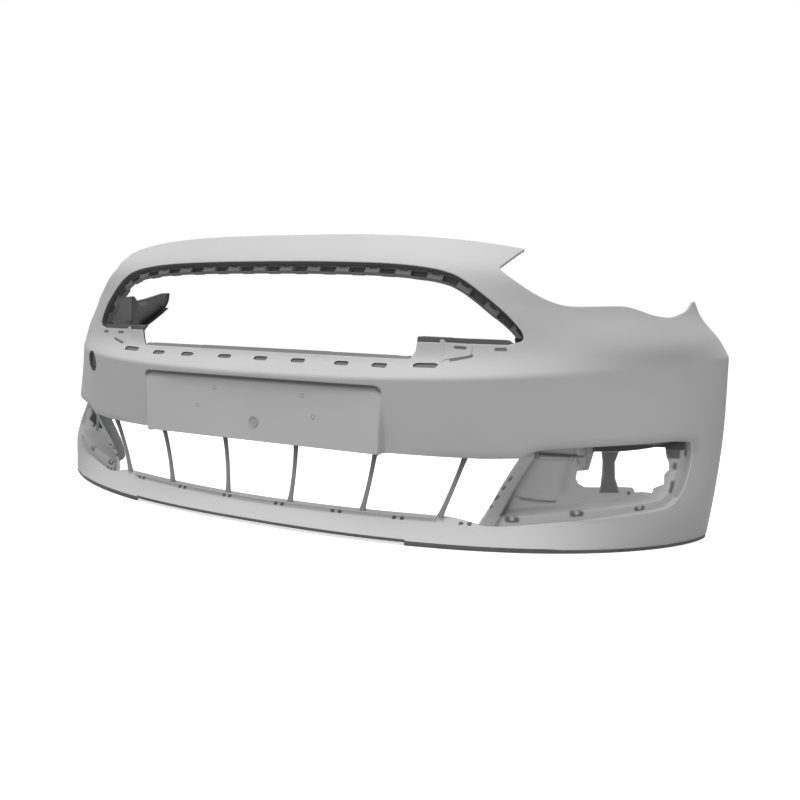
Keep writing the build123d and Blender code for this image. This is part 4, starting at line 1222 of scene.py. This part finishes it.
def rail_at(index, x):
    """Place on a rail at a given x, taken at u = x / W."""
    return rail_points(np.array([x / RAILS[index, 1]]))[index, 0]


def tube(path, half_x, half_y, sides=20):
    """Rounded-box section |x|^3 + |y|^3 = 1 carried along a path, closed at both ends."""
    angle = np.linspace(0, 2 * np.pi, sides, endpoint=False)
    c, s = np.cos(angle), np.sin(angle)
    ring = np.stack([np.sign(c) * np.abs(c) ** (2 / 3), np.sign(s) * np.abs(s) ** (2 / 3)], -1)
    way = unit(np.gradient(path, axis=0))
    across = unit(np.cross(way, np.array([0, -1.0, 0])[None]))
    over = np.cross(way, across)
    body = (path[:, None] + across[:, None] * (half_x[:, None] * ring[:, 0])[..., None]
            + over[:, None] * (half_y[:, None] * ring[:, 1])[..., None])
    return body.reshape(-1, 3), ring_faces(len(path), sides)


TIE_BOW = np.array([0.0, 4.0, 0.0])
TIE_HALF_X, TIE_HALF_Y = 4.5, 2.8
t = np.linspace(0, 1, 33)[:, None]
flare = 1 + 0.5 * np.exp(-t[:, 0] * 12) + 0.35 * np.exp(-(1 - t[:, 0]) * 10)
for index in range(6):
    side = 1 if index < 3 else -1
    k = index % 3
    top, foot = rail_at(2, side * TIE_TOP_XS[k]), rail_at(1, TIE_FOOT_XS[index // 3][k])
    path = (foot - TIE_BOW) * (1 - t) + (top + (0, TIE_SETBACK, 0)) * t + 4 * t * (1 - t) * TIE_BOW
    points, faces = tube(path, TIE_HALF_X * flare, TIE_HALF_Y * flare)
    bar = make_mesh(f"lower_tie_bar_{index + 1}", points, [(faces, 0)], [BAR])
    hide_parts(f"tie_bar_{index + 1}")
    print("tie bar", index + 1, "foot", foot.round(), "top", top.round())

# %% [markdown]
# ## The rubber strips under the lip
#
# Dark rubber strips close the gap to the undertray: a thin one in the middle and a deeper one beyond
# $|x| = 345$. They could be cut from the lip's own faces, but the real strips are pieces of their own. So
# a closed section, given as (depth behind the lip, height), is carried along the lowest rail.

# %% The strips
STRIP_SETBACK, STRIP_HALF = 2.2, 1.6


def lip_edge(u):
    """Place and level inward direction on the lowest rail: n = (-dy, dx) / |(dx, dy)|."""
    place = rail_points(u)[0]
    way = unit(np.gradient(place, axis=0) * (1, 1, 0))
    return place, np.stack([-way[:, 1], way[:, 0], 0 * u], -1)


def strip(name, u0, u1, low, high, nodes):
    """Rounded strip between two heights: section q(a) carried over u = sin(a)."""
    u = np.sin(np.linspace(np.arcsin(u0), np.arcsin(u1), 161))
    place, inward = lip_edge(u)
    angle = np.linspace(0, 2 * np.pi, 16, endpoint=False)
    depth = STRIP_SETBACK - STRIP_HALF * np.sign(np.cos(angle)) * np.abs(np.cos(angle)) ** 0.5
    height = (low + high) / 2 + (high - low) / 2 * np.sign(np.sin(angle)) * np.abs(np.sin(angle)) ** 0.5
    body = place[:, None] * (1, 1, 0) + inward[:, None] * depth[None, :, None]
    body[..., 2] = height
    made = make_mesh(name, body.reshape(-1, 3), [(turned(ring_faces(*body.shape[:2])), 0)], [RUBBER])
    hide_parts(*nodes)
    print(name, np.ptp(body.reshape(-1, 3), 0).round(), "mm")


LAST_U = 0.9995            # just short of the wheel arch, where the rail turns straight back
step_u = STRIP_STEP_X / RAILS[0, 1]
strip("lip_rubber_centre", -step_u, step_u, 6.0, 11.5, ["lip_strip_centre"])
strip("lip_rubber_left", step_u, LAST_U, 0.0, 9.0, ["lip_strip_left"])
strip("lip_rubber_right", -LAST_U, -step_u, 0.0, 9.0, ["lip_strip_right"])

# %% [markdown]
# ## The clip plates
#
# On each corner block the real moulding carries a thin raised plate with a ridge, over which a grille
# clip slides. It could be a box joined to the skin, but the block is bent. Here it is a piece of the
# skin's own surface, raised by a height field with soft edges.

# %% The clip plates
PLATE_OUTLINE = [(407, 362), (455, 372), (458, 380), (456, 394), (407, 396)]


def clip_height(p):
    """1.4 mm of plate with rounded edges and a 1.6 mm ridge along its inner side."""
    front = p[:, [0, 2]]
    ridge = np.exp(-(line_distance(front, [(401, 398), (404, 362)]) / 3.0) ** 2)
    body = smoothstep(0.5 - outline_distance(front, PLATE_OUTLINE) / 2)
    slot = smoothstep(0.5 - slots_distance(front, [(435, 386.5, 24, 6, -0.05)]) / 1.5)
    return 0.15 + 1.4 * body + 1.6 * ridge - 0.3 * slot


def clip_field(u, level):
    """Inside the plate or within 5 mm of its ridge, and outside its slot."""
    front = skin(u, level)[:, [0, 2]]
    edge = -np.minimum(outline_distance(front, PLATE_OUTLINE),
                       line_distance(front, [(401, 397), (404, 363)]) - 5)
    return np.minimum(edge, slots_distance(front, [(435, 386.5, 24, 6, -0.05)]))


uv, faces = trim(np.linspace(0.44, 0.56, 61), np.linspace(3.9, 4.75, 61), clip_field)
base = skin(uv[:, 0], uv[:, 1])
points = base + outward(uv[:, 0], uv[:, 1]) * clip_height(base)[:, None]
points, outer, inner = with_wall(points, faces, PAD_WALL)
plates = make_pair("corner_clip_plate", points, [(outer + inner, 0)], [PRIMER])
for word, plate in plates.items():
    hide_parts(f"grille_clip_plate_{word}")
print("clip plate", len(points), "vertices")

# %% [markdown]
# ## The plug and the marks on the plate panel
#
# The plate panel has a round plug in its middle and four faint round marks where screws can go. A
# cylinder primitive has hard edges, and these are soft little dishes, so each is a profile turned about
# the Y axis. The four marks are one piece, because they are one feature.

# %% Turned discs
def lathe(name, profile, spots, finish, sides=40):
    """Discs turned about the Y axis: (r cos a, y, r sin a) for each (r, y) of the profile."""
    profile = np.asarray(profile, float)
    a = np.linspace(0, 2 * np.pi, sides, endpoint=False)
    ring = np.stack([profile[:, :1] * np.cos(a), profile[:, 1:] + 0 * a, profile[:, :1] * np.sin(a)], -1)
    quads_and_caps = ring_faces(len(profile), sides)
    faces, points = [], []
    for number, (x, z) in enumerate(spots):
        points.append(ring.reshape(-1, 3) + (x, PLATE_Y, z))
        faces += [part + number * len(profile) * sides for part in quads_and_caps]
    made = make_mesh(name, np.concatenate(points), [(faces, 0)], [finish])
    print(name, 2 * profile[:, 0].max(), "mm wide at", spots)


PLUG_PROFILE = [(0.5, 1.2), (11.9, 1.2), (12.2, -0.4), (11.4, -1.8), (10.2, -1.9), (9.3, -0.9),
                (8.6, -0.3), (6.0, -0.3), (3.0, -0.5), (0.5, -0.6)]
MARK_PROFILE = [(0.4, 1.0), (5.0, 1.0), (5.2, -0.1), (4.6, -0.5), (3.6, -0.4), (2.6, 0.4), (0.4, 0.5)]
# On the plug the darker primer is painted shade of its groove; the marks are simply darker than the panel.
lathe("plate_plug", PLUG_PROFILE, [(0, 216)], THIN_COAT_AND_SHADE)
lathe("plate_marks", MARK_PROFILE, [(-104, 280), (119, 278), (-149, 239), (146, 237)], THIN_COAT_AND_SHADE, 24)

# %% [markdown]
# ## The headlamp side brackets
#
# Upright plates behind the nose's ends hold the headlamps, and the far one shows through the upper
# opening: a grey face with a jagged, darker edge strip. Extruding a drawn curve would do as well. Rings of
# numbers are chosen, each outline in the (y, z) plane given a thickness and an edge broken by 0.5 mm.

# %% The brackets
def upright_plate(name, outline, x, thickness, finish):
    """Plate from x to x + thickness: four rings q - e (q - c) / |q - c|, e = 0.5, 0, 0 and 0.5."""
    ring = np.array(outline, float)
    centre = ring.mean(0)
    pull = unit(ring - centre)
    sections = [(0.5, x), (0.0, x + 0.5), (0.0, x + thickness - 0.5), (0.5, x + thickness)]
    points = np.concatenate([np.column_stack([np.full(len(ring), place), ring - pull * inset])
                             for inset, place in sections])
    made = make_mesh(name, points, [(ring_faces(4, len(ring)), 0)], [finish])
    return made


FACE_OUTLINE = [(122, 412), (222, 410), (222, 474), (206, 472), (180, 465), (130, 465)]
EDGE_OUTLINE = [(222.3, 406), (250, 402), (240, 416), (235, 430), (236, 441), (249, 451), (229, 474),
                (222.3, 474)]
for word, x in (("left", 566), ("right", -569)):
    face = upright_plate(f"headlamp_side_bracket_{word}", FACE_OUTLINE, x, 3, BRACKET)
    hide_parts(f"headlamp_bracket_{word}")
    upright_plate(f"headlamp_bracket_edge_{word}", EDGE_OUTLINE, x - 1, 5, RAW)
print("brackets", np.ptp(FACE_OUTLINE, 0), "mm with an edge of", np.ptp(EDGE_OUTLINE, 0), "mm")

# %% [markdown]
# ## Finishes for the pieces kept from the model
#
# The flanges and the intake ledge behind the edges are plain sheets in the packed model already, and
# modelling them again would add nothing. They keep their shape and get the finish of the moulding's
# back, or primer where the front shows them. Every other node is replaced by a piece above.

# %% Dressing the kept nodes
FINISH = {"headlamp_flange": RAW, "beam_flange": SHADOW, "intake_ledge": PRIMER,
          "undertray_flange": RAW, "top_flange": PRIMER, "arch_flange": RAW}
for name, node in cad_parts.items():
    finish = next((FINISH[start] for start in FINISH if name.startswith(start)), PRIMER)
    node.data.materials.clear()
    node.data.materials.append(finish)
print("nodes given a finish", len(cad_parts))

# %% [markdown]
# ## The floor
#
# Parts like this are shown on seamless white. A bright floor would throw too much light up under the
# lip, and a darker one would look grey. So the floor looks white to the camera and in reflections, but
# is mid grey for the light that it sends on to the cover: the rays' own kind mixes the two.

# %% The floor
FLOOR_HALF, FLOOR_Z = 40, -0.001                 # m
corners = [(x * FLOOR_HALF, y * FLOOR_HALF, FLOOR_Z) for x, y in ((-1, -1), (1, -1), (1, 1), (-1, 1))]
floor_mesh = bpy.data.meshes.new("floor")
floor_mesh.from_pydata(corners, [], [(0, 1, 2, 3)])
floor = bpy.data.objects.new("floor", floor_mesh)
bpy.context.scene.collection.objects.link(floor)


def seen(graph):
    """1 for rays from the camera, off gloss and through glass; 0 for the light on the cover."""
    camera_ray, glossy_ray, glass_ray = (graph.node("ShaderNodeLightPath", output=ray) for ray in (
        "Is Camera Ray", "Is Glossy Ray", "Is Transmission Ray"))
    return camera_ray.larger(glossy_ray).larger(glass_ray)


FLOOR_GLOW = 0.60
floor_look = Finish("white_floor", (0.93, 0.93, 0.93), 0.9, 0.1)
floor_look.set("Base Color", seen(floor_look).mix((0.42, 0.42, 0.42), (0.90, 0.90, 0.90)))
floor_look.shader.inputs["Emission Color"].default_value = (1, 1, 1, 1)
floor_look.set("Emission Strength", seen(floor_look) * FLOOR_GLOW)
floor_mesh.materials.append(floor_look.material)
print("floor", tuple(round(v) for v in floor.dimensions[:2]), "m")

# %% [markdown]
# ## The light
#
# A shop's studio has large soft boxes, which leave a matt cover almost without shadows. An image of a
# studio as world light would do the same, but a plain white world needs no file. It gives the even base,
# one large lamp overhead draws the creases and one in front fills the openings.

# %% The world
LIT, WHITE = 0.425, 1.0
world = bpy.data.worlds.new("studio")
world.use_nodes = True
bpy.context.scene.world = world
world.node_tree.nodes.clear()
sky = Graph(world.node_tree)
lit = sky.node("ShaderNodeBackground", Color=(1.0, 1.0, 1.0), Strength=LIT)
white = sky.node("ShaderNodeBackground", Color=(1.0, 1.0, 1.0), Strength=WHITE)
mixed = sky.tree.nodes.new("ShaderNodeMixShader")
for place, value in zip(mixed.inputs, (seen(sky), lit, white)):
    sky.feed(place, value)
sky.node("ShaderNodeOutputWorld", Surface=Socket(sky, mixed.outputs[0]))
print("world", LIT, "on the cover,", WHITE, "to the eye")


# %% The lamps
def stand(name, data, axes, place):
    """Object in the scene, its own x, y and z along three unit axes, at a place in metres."""
    thing = bpy.data.objects.new(name, data)
    bpy.context.scene.collection.objects.link(thing)
    turn = np.block([[np.stack(axes, 1), np.array(place, float)[:, None]],
                     [np.zeros((1, 3)), np.ones((1, 1))]])
    thing.matrix_world = Matrix(turn.tolist())
    return thing


def area_light(name, place, aim, size, watts):
    """Square area light at a place, its back = -(aim - place) / |aim - place|."""
    data = bpy.data.lights.new(name, "AREA")
    data.shape = "SQUARE"
    data.size = size
    data.energy = watts
    way = np.array(aim, float) - np.array(place, float)
    back = -way / np.linalg.norm(way)
    across = np.cross((0.0, 0.0001, 1.0), back)
    across /= np.linalg.norm(across)
    stand(name, data, (across, np.cross(back, across), back), place)
    print(name, watts, "W from", np.linalg.norm(way).round(2), "m")


AIM = (0, 0, 0.3)
area_light("overhead", (0.1, -0.9, 3.2), AIM, 2.6, 95)
area_light("front_fill", (0.9, -3.8, 1.3), AIM, 2.4, 38)

# %% [markdown]
# ## The camera
#
# The cover is seen from its front left, from its own height and less than 2 m away, so its perspective
# is strong. A Track To constraint would aim the camera, but leave out its small roll. Its axes are worked
# out from three angles instead: yaw about Z, pitch downwards and a roll about the line of sight.

# %% The camera
YAW, PITCH, ROLL = 0.436859, 0.0572802, 0.0242402
SENSOR, LENS = 36.0, 34.67682                    # mm
SHIFT = (-0.02253625, -0.05785875)               # shares of the frame's width
EYE = np.array([983.544, -1304.624 - DEPTH_CENTRE, 457.405]) * M
looking = np.array([-np.sin(YAW) * np.cos(PITCH), np.cos(YAW) * np.cos(PITCH), -np.sin(PITCH)])
right = np.array([np.cos(YAW), np.sin(YAW), 0])
above = np.cross(right, looking)
right, above = (right * np.cos(ROLL) + above * np.sin(ROLL), above * np.cos(ROLL) - right * np.sin(ROLL))
camera_data = bpy.data.cameras.new("camera")
camera_data.sensor_width = SENSOR
camera_data.lens = LENS
camera_data.shift_x, camera_data.shift_y = SHIFT
bpy.context.scene.camera = stand("camera", camera_data, (right, above, -looking), EYE)
bpy.context.scene.view_settings.view_transform = "Standard"
print("camera", EYE.round(3), "m, lens", LENS, "mm")

# %% [markdown] ## The end
